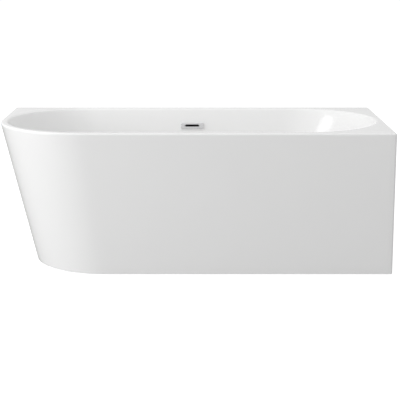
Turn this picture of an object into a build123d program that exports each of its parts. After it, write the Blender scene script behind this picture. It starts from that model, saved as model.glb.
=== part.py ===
from build123d import *
import math
import os

# A corner bath with an apron, in millimetres. X runs along the bath, +Y towards the wall behind
# it and +Z up. The origin is on the floor, under the middle of the deck.

# overall shape
LENGTH = 1700.0
WIDTH = 800.0
HEIGHT = 605.0
CORNER_RADIUS_TOP = 400.0       # rounded front left corner at the deck
CORNER_RADIUS_BOTTOM = 328.0    # the same corner at the floor
LEFT_LEAN = 159.0               # how far the left end leans in, from deck to lower edge
FLOOR_GAP = 2.0                 # from the floor up to the apron's lower edge
EDGE_ROUND = 8.0                # outer edge of the deck
BACK_TRIM = 0.05                # sawn off the deck's back edge after forming
WALL_CORNER_ROUND = 9.0         # upright corners at the walls
INNER_ROUND = 1.0               # the least round left inside those corners
RIM_DEPTH = 20.0                # turned-down rim of the basin

# bowl
SIDE_RIM = 40.0                 # deck width in front of and behind the bowl
END_RIM = 28.0                  # deck width at the bowl's ends
SIDE_LEAN = 60.0                # a side wall's run from deck to floor
END_LEAN = 215.0                # an end wall's run from deck to floor
FLOOR_HEIGHT = 165.0            # bowl floor above the ground
FLOOR_ROUND = 90.0
LIP_ROUND = 12.0

# walls
SHELL = 5.0                     # acrylic
COAT = 3.0                      # glass fibre behind the acrylic
GAP = 0.3                       # between pieces that move past each other
SLIP = 0.05                     # radial clearance of a shaft that slides or turns

# backing boards
BOARD = 12.0
BOARD_MARGIN = 10.0             # base board inside the bowl's flat floor
DRAIN_CUTOUT_RADIUS = 55.0
BATTEN = 18.0
BATTEN_HEIGHT = 50.0
DECK_CLEAR = 5.0                # boards under the deck to rim and bowl

# apron returns at the two walls
BACK_RETURN = 60.0
RIGHT_RETURN = 120.0

# support frame, square tube
TUBE = 25.0
TUBE_WALL = 2.0
RAIL_INSET = 20.0               # rail's middle line inside the base board's edge
LEFT_MEMBER_INSET = 400.0       # outer cross members from the ends of the deck
RIGHT_MEMBER_INSET = 100.0
RAIL_OVERHANG = 30.0            # rail past the outer cross members
RAIL_BREAK = 40.0               # back rails end this far either side of the overflow pipe
MEMBER_FRONT_CLEAR = 25.0       # cross member's end to the apron's lining
CAP = 3.0                       # plastic tube plug's head
CAP_PLUG = 10.0

# levelling feet, M10 x 1.5
STUD_RADIUS = 5.0
STUD_HOLE_CLEAR = 0.5           # around the stud in the cross member
STUD_ABOVE_TUBE = 30.0
FOOT_INSET = 100.0              # from the deck's front and back edges
PAD_RADIUS = 28.0
PAD_NECK_WALL = 8.0             # round the stud's socket
PAD_BASE = 6.0
PAD_HEIGHT = 22.0
SOCKET_FLOOR = 8.0
HEX_ACROSS = 17.0
HEX_HEIGHT = 8.0
BUSH_WALL = 6.0
BUSH_HEIGHT = 10.0

# fasteners
SCREW_RADIUS = 2.75
SCREW_HEAD_RADIUS = 5.5
SCREW_HEAD = 3.5
BOARD_SCREW_INSET = 100.0       # from the left cross member, and as far out on the right
BRACKET = 3.0
BRACKET_WIDTH = 40.0
BRACKET_LEG = 60.0
BRACKET_UP = 45.0
BRACKET_SCREW_GAP = 22.0

# waste
DRAIN_INSET = 85.0              # from the back of the bowl's flat floor
DRAIN_HOLE_CLEAR = 3.1          # around the flange's tube in the shell
FLANGE_RADIUS = 36.0
FLANGE = 2.5
SEAL = 1.0
SEAL_INSET = 2.0                # seal inside the flange's edge
LOWER_SEAL = 5.0
LOWER_SEAL_INSET = 1.0          # lower seal inside the body's collar
THROAT_RADIUS = 23.9            # outside of the flange's tube
THROAT_WALL = 2.4
THROAT_LENGTH = 29.0
CROSS = 4.0                     # bars at the foot of the tube
BOSS_RADIUS = 8.0
CARTRIDGE_RADIUS = 9.0
CARTRIDGE_HEIGHT = 20.0
CARTRIDGE_FLOOR = 4.0
STEM_RADIUS = 5.0
STEM_LENGTH = 22.0
PLUG_INSET = 4.0                # plug inside the flange's edge
PLUG_EDGE = 3.0
PLUG_DOME = 4.0
PLUG_SEAL_CLEAR = 0.4
PLUG_SEAL_HEIGHT = 3.0
BODY_COLLAR_RADIUS = 40.0
BODY_COLLAR = 5.0
BODY_THREAD_WALL = 4.0
BODY_WALL = 2.5
BODY_DEPTH = 52.0               # below the lower seal
PORT_DROP = 36.0                # overflow port's axis below the shell's underside
PORT_REACH = 66.0
TAIL_RADIUS = 17.0
TAIL_WALL = 2.0
TAIL_END = 25.0                 # foot of the dip tube above the ground
CUP_BOTTOM = 14.0               # foot of the trap above the ground
CUP_RADIUS = 36.0
CUP_WALL = 3.0
TRAP_SEAL = 2.0
NUT_WALL = 6.0
NUT_LID = 6.0
NUT_SKIRT = 6.0
THREAD_CLEAR = 0.1
OUTLET_DROP = 27.0              # outlet's axis below the cup's rim
OUTLET_RADIUS = 20.0
OUTLET_WALL = 2.4
OUTLET_STUB = 64.0              # from the drain's axis
OUTLET_BEND = 35.0
OUTLET_LEAD = 6.0
OUTLET_WALL_CLEAR = 28.0        # outlet's mouth inside the deck's back edge
OUTLET_NUT_LENGTH = 24.0

# overflow
OVERFLOW_DROP = 83.0            # its middle below the deck
BEZEL_WIDTH = 107.0
BEZEL_HEIGHT = 29.0
BEZEL_DEPTH = 9.0
BEZEL_WALL = 1.8
BEZEL_ROUND = 6.0
SLOT_WIDTH = 73.0
SLOT_HEIGHT = 10.0
SLOT_RISE = 1.5                 # above the bezel's middle
NECK_WIDTH = 69.0
NECK_HEIGHT = 18.0
NECK_WALL = 2.0
HOLE_CLEAR = 0.6
CLAMP_PLATE = 1.5
OVERFLOW_FLANGE_WIDTH = 110.0
OVERFLOW_FLANGE_HEIGHT = 34.0
OVERFLOW_FLANGE = 4.0
GASKET = 3.0
CLAMP_SCREW_X = 43.0
CLAMP_SCREW_RADIUS = 2.0
CLAMP_SCREW_HEAD = 1.8
CLAMP_SCREW_HEAD_RADIUS = 3.6
CHAMBER_WIDTH = 78.0
CHAMBER_DEPTH = 30.0
CHAMBER_HEIGHT = 44.0
PIPE_RADIUS = 16.0
PIPE_WALL = 1.5
PIPE_BEND = 80.0
PIPE_BACK_CLEAR = 1.8           # pipe's nuts inside the deck's back edge
SPIGOT_LENGTH = 30.0
SPIGOT_WALL = 2.0
PIPE_INSERT = 20.0
PIPE_NUT_LENGTH = 24.0
PIPE_NUT_WALL = 4.0

# worked out
STUD_HOLE_RADIUS = STUD_RADIUS + STUD_HOLE_CLEAR
PAD_NECK_RADIUS = STUD_RADIUS + PAD_NECK_WALL
BUSH_RADIUS = STUD_RADIUS + BUSH_WALL
DRAIN_HOLE_RADIUS = THROAT_RADIUS + DRAIN_HOLE_CLEAR
SEAL_RADIUS = FLANGE_RADIUS - SEAL_INSET
PLUG_RADIUS = FLANGE_RADIUS - PLUG_INSET
LOWER_SEAL_RADIUS = BODY_COLLAR_RADIUS - LOWER_SEAL_INSET
BODY_RADIUS = THROAT_RADIUS + THREAD_CLEAR + BODY_THREAD_WALL
SPIGOT_RADIUS = PIPE_RADIUS + THREAD_CLEAR + SPIGOT_WALL
PIPE_NUT_RADIUS = SPIGOT_RADIUS + THREAD_CLEAR + PIPE_NUT_WALL
HALF_LENGTH = LENGTH / 2
HALF_WIDTH = WIDTH / 2
RIM_BOTTOM = HEIGHT - RIM_DEPTH
STACK = SHELL + COAT
SHELL_UNDERSIDE = FLOOR_HEIGHT - STACK
BOARD_BOTTOM = SHELL_UNDERSIDE - BOARD
RAIL_BOTTOM = BOARD_BOTTOM - TUBE
MEMBER_BOTTOM = RAIL_BOTTOM - TUBE
BOWL_RADIUS = HALF_WIDTH - SIDE_RIM
BOWL_CENTRE = HALF_LENGTH - END_RIM - BOWL_RADIUS
FLOOR_RADIUS = BOWL_RADIUS - SIDE_LEAN
FLOOR_CENTRE = BOWL_CENTRE + BOWL_RADIUS - END_LEAN - FLOOR_RADIUS
BOARD_HALF_WIDTH = FLOOR_RADIUS - FLOOR_ROUND - BOARD_MARGIN
BOARD_HALF_LENGTH = FLOOR_CENTRE + FLOOR_RADIUS - FLOOR_ROUND - BOARD_MARGIN
RAIL_Y = BOARD_HALF_WIDTH - RAIL_INSET
LEFT_MEMBER_X = LEFT_MEMBER_INSET - HALF_LENGTH
BOARD_SCREW_X = -LEFT_MEMBER_X - BOARD_SCREW_INSET
RIGHT_MEMBER_X = HALF_LENGTH - RIGHT_MEMBER_INSET
MEMBER_X = {
    "left": LEFT_MEMBER_X,
    "middle": (LEFT_MEMBER_X + RIGHT_MEMBER_X) / 2,
    "right": RIGHT_MEMBER_X,
}
FOOT_Y = {"front": FOOT_INSET - HALF_WIDTH, "back": HALF_WIDTH - FOOT_INSET}
DRAIN_Y = FLOOR_RADIUS - FLOOR_ROUND - DRAIN_INSET
FLANGE_TOP = FLOOR_HEIGHT + SEAL + FLANGE
THROAT_BOTTOM = FLOOR_HEIGHT + SEAL - THROAT_LENGTH
BODY_TOP = SHELL_UNDERSIDE - LOWER_SEAL
BODY_BOTTOM = BODY_TOP - BODY_DEPTH
PORT_Z = SHELL_UNDERSIDE - PORT_DROP
CUP_TOP = BODY_BOTTOM - TRAP_SEAL - NUT_LID
OUTLET_Z = CUP_TOP - OUTLET_DROP
OUTLET_MOUTH_Y = HALF_WIDTH - OUTLET_WALL_CLEAR
PIPE_Y = HALF_WIDTH - PIPE_BACK_CLEAR - PIPE_NUT_RADIUS
OVERFLOW_Z = HEIGHT - OVERFLOW_DROP
CHAMBER_BOTTOM = OVERFLOW_Z - CHAMBER_HEIGHT / 2


# shared shapes

UPWARDS = (Align.CENTER, Align.CENTER, Align.MIN)
DOWNWARDS = (Align.CENTER, Align.CENTER, Align.MAX)


def block(x, y, z):
    """A box between two limits along each axis."""
    size = [limits[1] - limits[0] for limits in (x, y, z)]
    middle = [(limits[1] + limits[0]) / 2 for limits in (x, y, z)]
    return Pos(*middle) * Box(*size)


def rod(x, y, z, radius):
    """An upright cylinder between two heights."""
    return Pos(x, y, (z[0] + z[1]) / 2) * Cylinder(radius, z[1] - z[0])


def ring(x, y, z, outer, inner):
    return rod(x, y, z, outer) - rod(x, y, z, inner)


def lean_share(z):
    """Share of the apron's lean reached at a height: none at the lower edge, all at the deck."""
    return (z - FLOOR_GAP) / (HEIGHT - FLOOR_GAP)


def left_edge(z):
    """The leaning left end, set out so that its rounded top edge reaches the full length."""
    slope = LEFT_LEAN / (HEIGHT - FLOOR_GAP)
    lost_to_round = EDGE_ROUND * (slope + math.hypot(1, slope) - 1)
    return -HALF_LENGTH - lost_to_round + LEFT_LEAN * (1 - lean_share(z))


def corner_radius(z):
    return CORNER_RADIUS_BOTTOM + (CORNER_RADIUS_TOP - CORNER_RADIUS_BOTTOM) * lean_share(z)


def front_edge(x, z, inset=0.0):
    """The apron's front at x, allowing for its rounded corner."""
    radius = corner_radius(z)
    into_corner = left_edge(z) + radius - x
    if into_corner <= 0:
        return -HALF_WIDTH + inset
    return -HALF_WIDTH + radius - math.sqrt((radius - inset) ** 2 - into_corner**2)


def outline(z, inset=0.0, spare=0.0):
    """The bath's plan at a height, drawn in by an inset, with any spare left on at the back."""
    left = left_edge(z) + inset
    right = HALF_LENGTH - inset
    front = inset - HALF_WIDTH
    back = HALF_WIDTH - inset + spare
    big = corner_radius(z) - inset
    small = max(WALL_CORNER_ROUND - inset, INNER_ROUND)
    edge = [Line((left + big, front), (right - small, front))]
    edge += [CenterArc((right - small, front + small), small, -90, 90)]
    edge += [Line((right, front + small), (right, back - small))]
    edge += [CenterArc((right - small, back - small), small, 0, 90)]
    edge += [Line((right - small, back), (left + small, back))]
    edge += [CenterArc((left + small, back - small), small, 90, 90)]
    edge += [Line((left, back - small), (left, front + big))]
    edge += [CenterArc((left + big, front + big), big, 180, 90)]
    return Pos(0, 0, z) * make_face(Curve() + edge)


def outline_block(low, high, inset=0.0, spare=0.0):
    return loft([outline(low, inset, spare), outline(high, inset, spare)], ruled=True)


def bowl_radius(z, grow=0.0):
    share = (z - FLOOR_HEIGHT) / (HEIGHT - FLOOR_HEIGHT)
    return FLOOR_RADIUS + SIDE_LEAN * share + grow


def bowl_centre(z):
    share = (z - FLOOR_HEIGHT) / (HEIGHT - FLOOR_HEIGHT)
    return FLOOR_CENTRE + (BOWL_CENTRE - FLOOR_CENTRE) * share


def bowl_plan(z, grow=0.0):
    """The bowl's plan at a height: straight sides and two half rounds."""
    centre = bowl_centre(z)
    radius = bowl_radius(z, grow)
    edge = [Line((-centre, -radius), (centre, -radius))]
    edge += [CenterArc((centre, 0), radius, -90, 180)]
    edge += [Line((centre, radius), (-centre, radius))]
    edge += [CenterArc((-centre, 0), radius, 90, 180)]
    return Pos(0, 0, z) * make_face(Curve() + edge)


def bowl_block(grow, top):
    """The bowl's space, grown outwards and down by one amount."""
    bottom = FLOOR_HEIGHT - grow
    body = loft([bowl_plan(bottom, grow), bowl_plan(top, grow)], ruled=True)
    return fillet(body.faces().sort_by(Axis.Z)[0].edges(), FLOOR_ROUND + grow)


def bowl_and_deck(grow, inset, above):
    """The space above a surface that lies one amount under the basin's top, with its round lip."""
    level = HEIGHT - grow
    form = bowl_block(grow, level) + outline_block(level, HEIGHT + above, inset)
    centre = bowl_centre(level)
    radius = bowl_radius(level, grow)

    def on_mouth(edge):
        middle = edge @ 0.5
        run = math.hypot(max(abs(middle.X) - centre, 0), middle.Y)
        return abs(middle.Z - level) < 0.01 and abs(run - radius) < 0.01

    return fillet([edge for edge in form.edges() if on_mouth(edge)], LIP_ROUND - grow)


def obround(width, height):
    return SlotOverall(width, height)


def wall_plane():
    """A plane on the bowl's back wall at the overflow: x along the bath, y up the wall."""
    slope = SIDE_LEAN / (HEIGHT - FLOOR_HEIGHT)
    return Plane(
        origin=(0, bowl_radius(OVERFLOW_Z), OVERFLOW_Z), x_dir=(1, 0, 0), z_dir=(0, -1, slope)
    )


def on_wall(shape, start, depth):
    """A plan extruded off the back wall: depths are into the bowl, and negative behind it."""
    plane = wall_plane().offset(start)
    return extrude(plane * shape, depth)


def overflow_hole():
    """Cuts for the overflow's neck and its two screws through the shell."""
    through = 2 * STACK
    neck = obround(NECK_WIDTH + 2 * HOLE_CLEAR, NECK_HEIGHT + 2 * HOLE_CLEAR)
    cut = on_wall(neck, -through, 2 * through)
    for side in (-1, 1):
        bore = Pos(side * CLAMP_SCREW_X, 0) * Circle(CLAMP_SCREW_RADIUS + HOLE_CLEAR)
        cut += on_wall(bore, -through, 2 * through)
    return cut


def square_tube(x, y, z):
    """A tube along its longest side, open at both ends."""
    spans = [x, y, z]
    along = max(range(3), key=lambda axis: spans[axis][1] - spans[axis][0])
    inner = [(low + TUBE_WALL, high - TUBE_WALL) for low, high in spans]
    inner[along] = spans[along]
    return block(*spans) - block(*inner)


def hexagon(x, y, z, across, bore=0.0):
    nut = Pos(x, y, z[0]) * extrude(RegularPolygon(across / 2, 6, major_radius=False), z[1] - z[0])
    return nut - rod(x, y, z, bore) if bore else nut


# basin and apron

def basin():
    """One formed sheet: deck, turned-down rim and bowl, trimmed flat where it meets the wall."""
    slab = outline_block(RIM_BOTTOM, HEIGHT, 0, BACK_TRIM)
    slab = fillet(slab.faces().sort_by(Axis.Z)[-1].edges(), EDGE_ROUND)
    under = outline_block(RIM_BOTTOM, HEIGHT - SHELL, SHELL)
    solid = (slab - under) + bowl_and_deck(SHELL, SHELL / 2, 0)
    solid -= bowl_and_deck(0, SHELL / 2, SHELL)
    solid -= rod(0, DRAIN_Y, (0, FLOOR_HEIGHT + 1), DRAIN_HOLE_RADIUS)
    over = outline_block(HEIGHT - SHELL / 2, HEIGHT + SHELL, 0, BACK_TRIM)
    trim = block((-LENGTH, LENGTH), (HALF_WIDTH, HALF_WIDTH + SHELL), (0, HEIGHT + SHELL))
    return (slab & solid) + (solid - over) - overflow_hole() - trim


def fibreglass_coat():
    """Glass fibre laid on the back of the basin, with one slot for the overflow's neck and screws."""
    solid = bowl_and_deck(STACK, SHELL, -SHELL) - bowl_and_deck(SHELL, SHELL / 2, 0)
    reach = 2 * (CLAMP_SCREW_X + CLAMP_SCREW_HEAD_RADIUS)
    solid -= on_wall(obround(reach, NECK_HEIGHT + 2 * HOLE_CLEAR), -2 * STACK, 4 * STACK)
    return solid - rod(0, DRAIN_Y, (0, FLOOR_HEIGHT), DRAIN_HOLE_RADIUS)


def wall_side_cut():
    """Space that the apron leaves open at the back and at the right end."""
    low = FLOOR_GAP
    plans = []
    for z in (low, RIM_BOTTOM):
        start = left_edge(z) + BACK_RETURN
        back = (HALF_WIDTH - BACK_RETURN, HALF_WIDTH + SHELL)
        width = HALF_LENGTH + SHELL - start
        middle = start + width / 2
        plans.append(Pos(middle, sum(back) / 2, z) * Rectangle(width, back[1] - back[0]))
    right = block(
        (HALF_LENGTH - 2 * STACK, HALF_LENGTH + SHELL),
        (RIGHT_RETURN - HALF_WIDTH, HALF_WIDTH + SHELL),
        (low, RIM_BOTTOM),
    )
    return loft(plans, ruled=True) + right


def skirt():
    """Apron: flat front, rounded leaning left end and a short return at each wall."""
    hollow = outline_block(FLOOR_GAP, RIM_BOTTOM, SHELL)
    return outline_block(FLOOR_GAP, RIM_BOTTOM) - hollow - wall_side_cut()


def skirt_backing():
    hollow = outline_block(FLOOR_GAP, RIM_BOTTOM, STACK)
    return outline_block(FLOOR_GAP, RIM_BOTTOM, SHELL) - hollow - wall_side_cut()


# backing boards

def base_board():
    """Board under the bowl's flat floor, with a cut-out for the waste."""
    board = block(
        (-BOARD_HALF_LENGTH, BOARD_HALF_LENGTH),
        (-BOARD_HALF_WIDTH, BOARD_HALF_WIDTH),
        (BOARD_BOTTOM, SHELL_UNDERSIDE),
    )
    board -= rod(0, DRAIN_Y, (BOARD_BOTTOM, SHELL_UNDERSIDE), DRAIN_CUTOUT_RADIUS)
    return board - board_screws()


def rim_battens():
    """Strips under the deck, along the bowl's straight sides."""
    top = HEIGHT - STACK
    outer = HALF_WIDTH - SHELL - DECK_CLEAR
    inner = bowl_radius(top, STACK) + DECK_CLEAR
    reach = BOWL_CENTRE - BATTEN
    strips = []
    for side in (-1, 1):
        limits = sorted((side * inner, side * outer))
        start = left_edge(RIM_BOTTOM) + corner_radius(RIM_BOTTOM) if side < 0 else -reach
        strips.append(block((max(start, -reach), reach), limits, (top - BATTEN, top)))
    return Compound(children=strips)


def corner_boards():
    """Boards under the deck's three square corners."""
    top = HEIGHT - STACK
    low = top - BOARD
    clear = bowl_block(STACK + DECK_CLEAR, HEIGHT)
    inside = outline_block(low, top, SHELL + DECK_CLEAR)
    boards = []
    for side_x, side_y in ((1, -1), (1, 1), (-1, 1)):
        x = sorted((side_x * (BOWL_CENTRE + BATTEN), side_x * HALF_LENGTH))
        y = sorted((side_y * BOWL_RADIUS / 2, side_y * HALF_WIDTH))
        boards.append((block(x, y, (low, top)) & inside) - clear)
    return Compound(children=[solid for board in boards for solid in board.solids()])


def batten_span():
    """Straight stretch of the apron's front, at the batten's upper edge."""
    top = MEMBER_BOTTOM + BATTEN_HEIGHT
    start = left_edge(FLOOR_GAP) + corner_radius(top)
    return (start, HALF_LENGTH - STACK - BATTEN)


def skirt_batten():
    """Strip inside the apron's foot, which the brackets are screwed to."""
    face = STACK - HALF_WIDTH
    strip = block(
        batten_span(), (face, face + BATTEN), (MEMBER_BOTTOM, MEMBER_BOTTOM + BATTEN_HEIGHT)
    )
    return strip - skirt_screws()


# support frame

def rail_spans():
    """Each lengthways tube's two ends and its middle line."""
    left = LEFT_MEMBER_X - RAIL_OVERHANG
    right = RIGHT_MEMBER_X + RAIL_OVERHANG
    return {
        "front": (left, right, -RAIL_Y),
        "back_left": (left, -RAIL_BREAK, RAIL_Y),
        "back_right": (RAIL_BREAK, right, RAIL_Y),
    }


def rail(name):
    """Lengthways tube under an edge of the base board."""
    left, right, middle = rail_spans()[name]
    across = (middle - TUBE / 2, middle + TUBE / 2)
    return square_tube((left, right), across, (RAIL_BOTTOM, BOARD_BOTTOM)) - board_screws()


def front_rail():
    return rail("front")


def back_left_rail():
    return rail("back_left")


def back_right_rail():
    return rail("back_right")


def member_front(x):
    """Front end of a cross member, short of the apron's lining at its tightest point."""
    if x > batten_span()[0]:
        return STACK + BATTEN + BRACKET + CAP - HALF_WIDTH
    return front_edge(x - TUBE / 2, MEMBER_BOTTOM, STACK) + MEMBER_FRONT_CLEAR + CAP


def member_back():
    return HALF_WIDTH - STACK - CAP - RAIL_INSET / 2


def cross_member(x):
    """Tube across the bath, under the rails, bored for its two feet and its bracket."""
    tube = square_tube(
        (x - TUBE / 2, x + TUBE / 2), (member_front(x), member_back()), (MEMBER_BOTTOM, RAIL_BOTTOM)
    )
    for y in FOOT_Y.values():
        tube -= rod(x, y, (MEMBER_BOTTOM, RAIL_BOTTOM), STUD_HOLE_RADIUS)
    return tube - skirt_screws()


def left_cross_member():
    return cross_member(MEMBER_X["left"])


def middle_cross_member():
    return cross_member(MEMBER_X["middle"])


def right_cross_member():
    return cross_member(MEMBER_X["right"])


def tube_end_caps():
    """Plastic plugs in the ends of the rails and cross members."""
    inner = TUBE - 2 * TUBE_WALL
    plug = Box(TUBE, TUBE, CAP, align=UPWARDS) + Box(inner, inner, CAP_PLUG, align=DOWNWARDS)
    ends = []
    for left, right, y in rail_spans().values():
        z = RAIL_BOTTOM + TUBE / 2
        ends.append(Plane((left, y, z), z_dir=(-1, 0, 0)))
        ends.append(Plane((right, y, z), z_dir=(1, 0, 0)))
    for x in MEMBER_X.values():
        z = MEMBER_BOTTOM + TUBE / 2
        ends.append(Plane((x, member_front(x), z), z_dir=(0, -1, 0)))
        ends.append(Plane((x, member_back(), z), z_dir=(0, 1, 0)))
    return Compound(children=[end * plug for end in ends])


def screw(place, length):
    """A screw whose head sits on a plane and whose shank runs against the plane's normal."""
    head = Cone(SCREW_HEAD_RADIUS, SCREW_RADIUS, SCREW_HEAD, align=UPWARDS)
    return place * (head + Cylinder(SCREW_RADIUS, length, align=DOWNWARDS))


def board_screws():
    """Long screws up through the rails into the base board."""
    screws = []
    for x in (-BOARD_SCREW_X, BOARD_SCREW_X):
        for y in (-RAIL_Y, RAIL_Y):
            place = Plane((x, y, RAIL_BOTTOM), z_dir=(0, 0, -1))
            screws.append(screw(place, TUBE + BOARD * 3 / 4))
    return Compound(children=screws)


def bracket_places():
    """Where a cross member's front end meets the apron's batten."""
    return [x for x in MEMBER_X.values() if x > batten_span()[0]]


def skirt_brackets():
    """Angles from the cross members to the apron's batten."""
    back = STACK + BATTEN - HALF_WIDTH
    brackets = []
    for x in bracket_places():
        span = (x - BRACKET_WIDTH / 2, x + BRACKET_WIDTH / 2)
        angle = block(span, (back, back + BRACKET_LEG), (RAIL_BOTTOM, RAIL_BOTTOM + BRACKET))
        upright = (RAIL_BOTTOM - BRACKET_UP / 2, RAIL_BOTTOM + BRACKET_UP / 2)
        angle += block(span, (back, back + BRACKET), upright)
        brackets.append(angle - skirt_screws())
    return Compound(children=brackets)


def skirt_screws():
    """Three screws in each bracket: two into the batten, one into the cross member."""
    back = STACK + BATTEN - HALF_WIDTH
    screws = []
    for x in bracket_places():
        for side in (-1, 1):
            across = x + side * BRACKET_SCREW_GAP / 2
            up = RAIL_BOTTOM + BRACKET_UP / 4 + BRACKET
            place = Plane((across, back + BRACKET, up), z_dir=(0, 1, 0))
            screws.append(screw(place, BRACKET + BATTEN * 3 / 4))
        place = Plane((x, back + BRACKET_LEG * 2 / 3, RAIL_BOTTOM + BRACKET), z_dir=(0, 0, 1))
        screws.append(screw(place, BRACKET + TUBE_WALL + CAP))
    return Compound(children=screws)


# feet

def foot_places():
    return [(x, y) for x in MEMBER_X.values() for y in FOOT_Y.values()]


def foot_bushes():
    """Threaded bushes welded under the cross members."""
    low = MEMBER_BOTTOM - BUSH_HEIGHT
    bushes = []
    for x, y in foot_places():
        bushes.append(ring(x, y, (low, MEMBER_BOTTOM), BUSH_RADIUS, STUD_RADIUS + SLIP))
    return Compound(children=bushes)


def foot_lock_nuts():
    top = MEMBER_BOTTOM - BUSH_HEIGHT
    nuts = []
    for x, y in foot_places():
        nuts.append(hexagon(x, y, (top - HEX_HEIGHT, top), HEX_ACROSS, STUD_RADIUS + SLIP))
    return Compound(children=nuts)


def foot_pad(x, y):
    """Plastic foot with a socket for the stud."""
    pad = rod(x, y, (0, PAD_BASE), PAD_RADIUS)
    slope = Cone(PAD_RADIUS, PAD_NECK_RADIUS, PAD_HEIGHT - PAD_BASE, align=UPWARDS)
    pad += Pos(x, y, PAD_BASE) * slope
    return pad - rod(x, y, (SOCKET_FLOOR, PAD_HEIGHT), STUD_RADIUS + SLIP)


def foot_stud(x, y):
    """Threaded stud with a hexagon just above the pad."""
    low = PAD_HEIGHT + GAP
    stud = rod(x, y, (SOCKET_FLOOR + GAP, RAIL_BOTTOM + STUD_ABOVE_TUBE), STUD_RADIUS)
    return stud + hexagon(x, y, (low, low + HEX_HEIGHT), HEX_ACROSS)


# waste

def drain_flange():
    """Waste flange: dished face, threaded tube and a cross with a boss."""
    low = FLOOR_HEIGHT + SEAL
    bore = THROAT_RADIUS - THROAT_WALL
    flange = rod(0, DRAIN_Y, (low, FLANGE_TOP), FLANGE_RADIUS)
    flange = chamfer(flange.faces().sort_by(Axis.Z)[-1].edges(), FLANGE / 2)
    flange += rod(0, DRAIN_Y, (THROAT_BOTTOM, low), THROAT_RADIUS)
    flange -= rod(0, DRAIN_Y, (THROAT_BOTTOM, FLANGE_TOP), bore)
    foot = (THROAT_BOTTOM, THROAT_BOTTOM + CROSS)
    bars = block((-bore, bore), (DRAIN_Y - CROSS / 2, DRAIN_Y + CROSS / 2), foot)
    bars += block((-CROSS / 2, CROSS / 2), (DRAIN_Y - bore, DRAIN_Y + bore), foot)
    return flange + bars + rod(0, DRAIN_Y, foot, BOSS_RADIUS)


def drain_top_seal():
    return ring(0, DRAIN_Y, (FLOOR_HEIGHT, FLOOR_HEIGHT + SEAL), SEAL_RADIUS, THROAT_RADIUS)


def drain_lower_seal():
    return ring(0, DRAIN_Y, (BODY_TOP, SHELL_UNDERSIDE), LOWER_SEAL_RADIUS, THROAT_RADIUS)


def click_cartridge():
    """Sleeve on the flange's boss that guides the plug's stem."""
    low = THROAT_BOTTOM + CROSS
    sleeve = rod(0, DRAIN_Y, (low, low + CARTRIDGE_HEIGHT), CARTRIDGE_RADIUS)
    return sleeve - rod(0, DRAIN_Y, (low + CARTRIDGE_FLOOR, low + CARTRIDGE_HEIGHT), STEM_RADIUS + SLIP)


def plug_cap():
    """Mushroom plug over the flange."""
    low = FLANGE_TOP + GAP
    edge = rod(0, DRAIN_Y, (low, low + PLUG_EDGE), PLUG_RADIUS)
    ball = (PLUG_RADIUS**2 + PLUG_DOME**2) / (2 * PLUG_DOME)
    dome = Pos(0, DRAIN_Y, low + PLUG_EDGE + PLUG_DOME - ball) * Sphere(ball)
    return edge + (dome & rod(0, DRAIN_Y, (low + PLUG_EDGE, low + PLUG_EDGE + PLUG_DOME), PLUG_RADIUS))


def plug_seal():
    """Rubber ring under the plug, in the mouth of the waste."""
    top = FLANGE_TOP + GAP
    outer = THROAT_RADIUS - THROAT_WALL - PLUG_SEAL_CLEAR
    return ring(0, DRAIN_Y, (top - PLUG_SEAL_HEIGHT, top), outer, STEM_RADIUS)


def plug_stem():
    top = FLANGE_TOP + GAP
    return rod(0, DRAIN_Y, (top - STEM_LENGTH, top), STEM_RADIUS)


def drain_body():
    """Moulded body under the bowl, with a port for the overflow and a tail into the trap."""
    body = rod(0, DRAIN_Y, (BODY_TOP - BODY_COLLAR, BODY_TOP), BODY_COLLAR_RADIUS)
    body += rod(0, DRAIN_Y, (BODY_BOTTOM, BODY_TOP), BODY_RADIUS)
    body += rod(0, DRAIN_Y, (TAIL_END, BODY_BOTTOM), TAIL_RADIUS)
    port = Plane((0, DRAIN_Y, PORT_Z), z_dir=(0, 1, 0))
    body += port * Cylinder(SPIGOT_RADIUS, PORT_REACH, align=UPWARDS)
    body -= port * Cylinder(PIPE_RADIUS + THREAD_CLEAR, PORT_REACH, align=UPWARDS)
    body -= rod(0, DRAIN_Y, (THROAT_BOTTOM, BODY_TOP), THROAT_RADIUS + THREAD_CLEAR)
    body -= rod(0, DRAIN_Y, (BODY_BOTTOM + BODY_WALL, THROAT_BOTTOM), BODY_RADIUS - BODY_WALL)
    return body - rod(0, DRAIN_Y, (TAIL_END, BODY_BOTTOM + BODY_WALL), TAIL_RADIUS - TAIL_WALL)


def trap_nut():
    """Ring nut that holds the cup to the body."""
    outer = CUP_RADIUS + THREAD_CLEAR + NUT_WALL
    top = CUP_TOP + TRAP_SEAL + NUT_LID
    nut = rod(0, DRAIN_Y, (CUP_TOP - NUT_SKIRT, top), outer)
    nut -= rod(0, DRAIN_Y, (CUP_TOP - NUT_SKIRT, CUP_TOP + TRAP_SEAL), CUP_RADIUS + THREAD_CLEAR)
    return nut - rod(0, DRAIN_Y, (CUP_TOP, top), TAIL_RADIUS + THREAD_CLEAR)


def trap_seal():
    return ring(0, DRAIN_Y, (CUP_TOP, CUP_TOP + TRAP_SEAL), CUP_RADIUS, TAIL_RADIUS)


def trap_cup():
    """Removable cup of the trap, with the outlet stub on its right."""
    cup = rod(0, DRAIN_Y, (CUP_BOTTOM, CUP_TOP), CUP_RADIUS)
    stub = Plane((0, DRAIN_Y, OUTLET_Z), z_dir=(1, 0, 0))
    cup += stub * Cylinder(OUTLET_RADIUS, OUTLET_STUB, align=UPWARDS)
    cup -= stub * Cylinder(OUTLET_RADIUS - OUTLET_WALL, OUTLET_STUB, align=UPWARDS)
    return cup - rod(0, DRAIN_Y, (CUP_BOTTOM + CUP_WALL, CUP_TOP), CUP_RADIUS - CUP_WALL)


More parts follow.
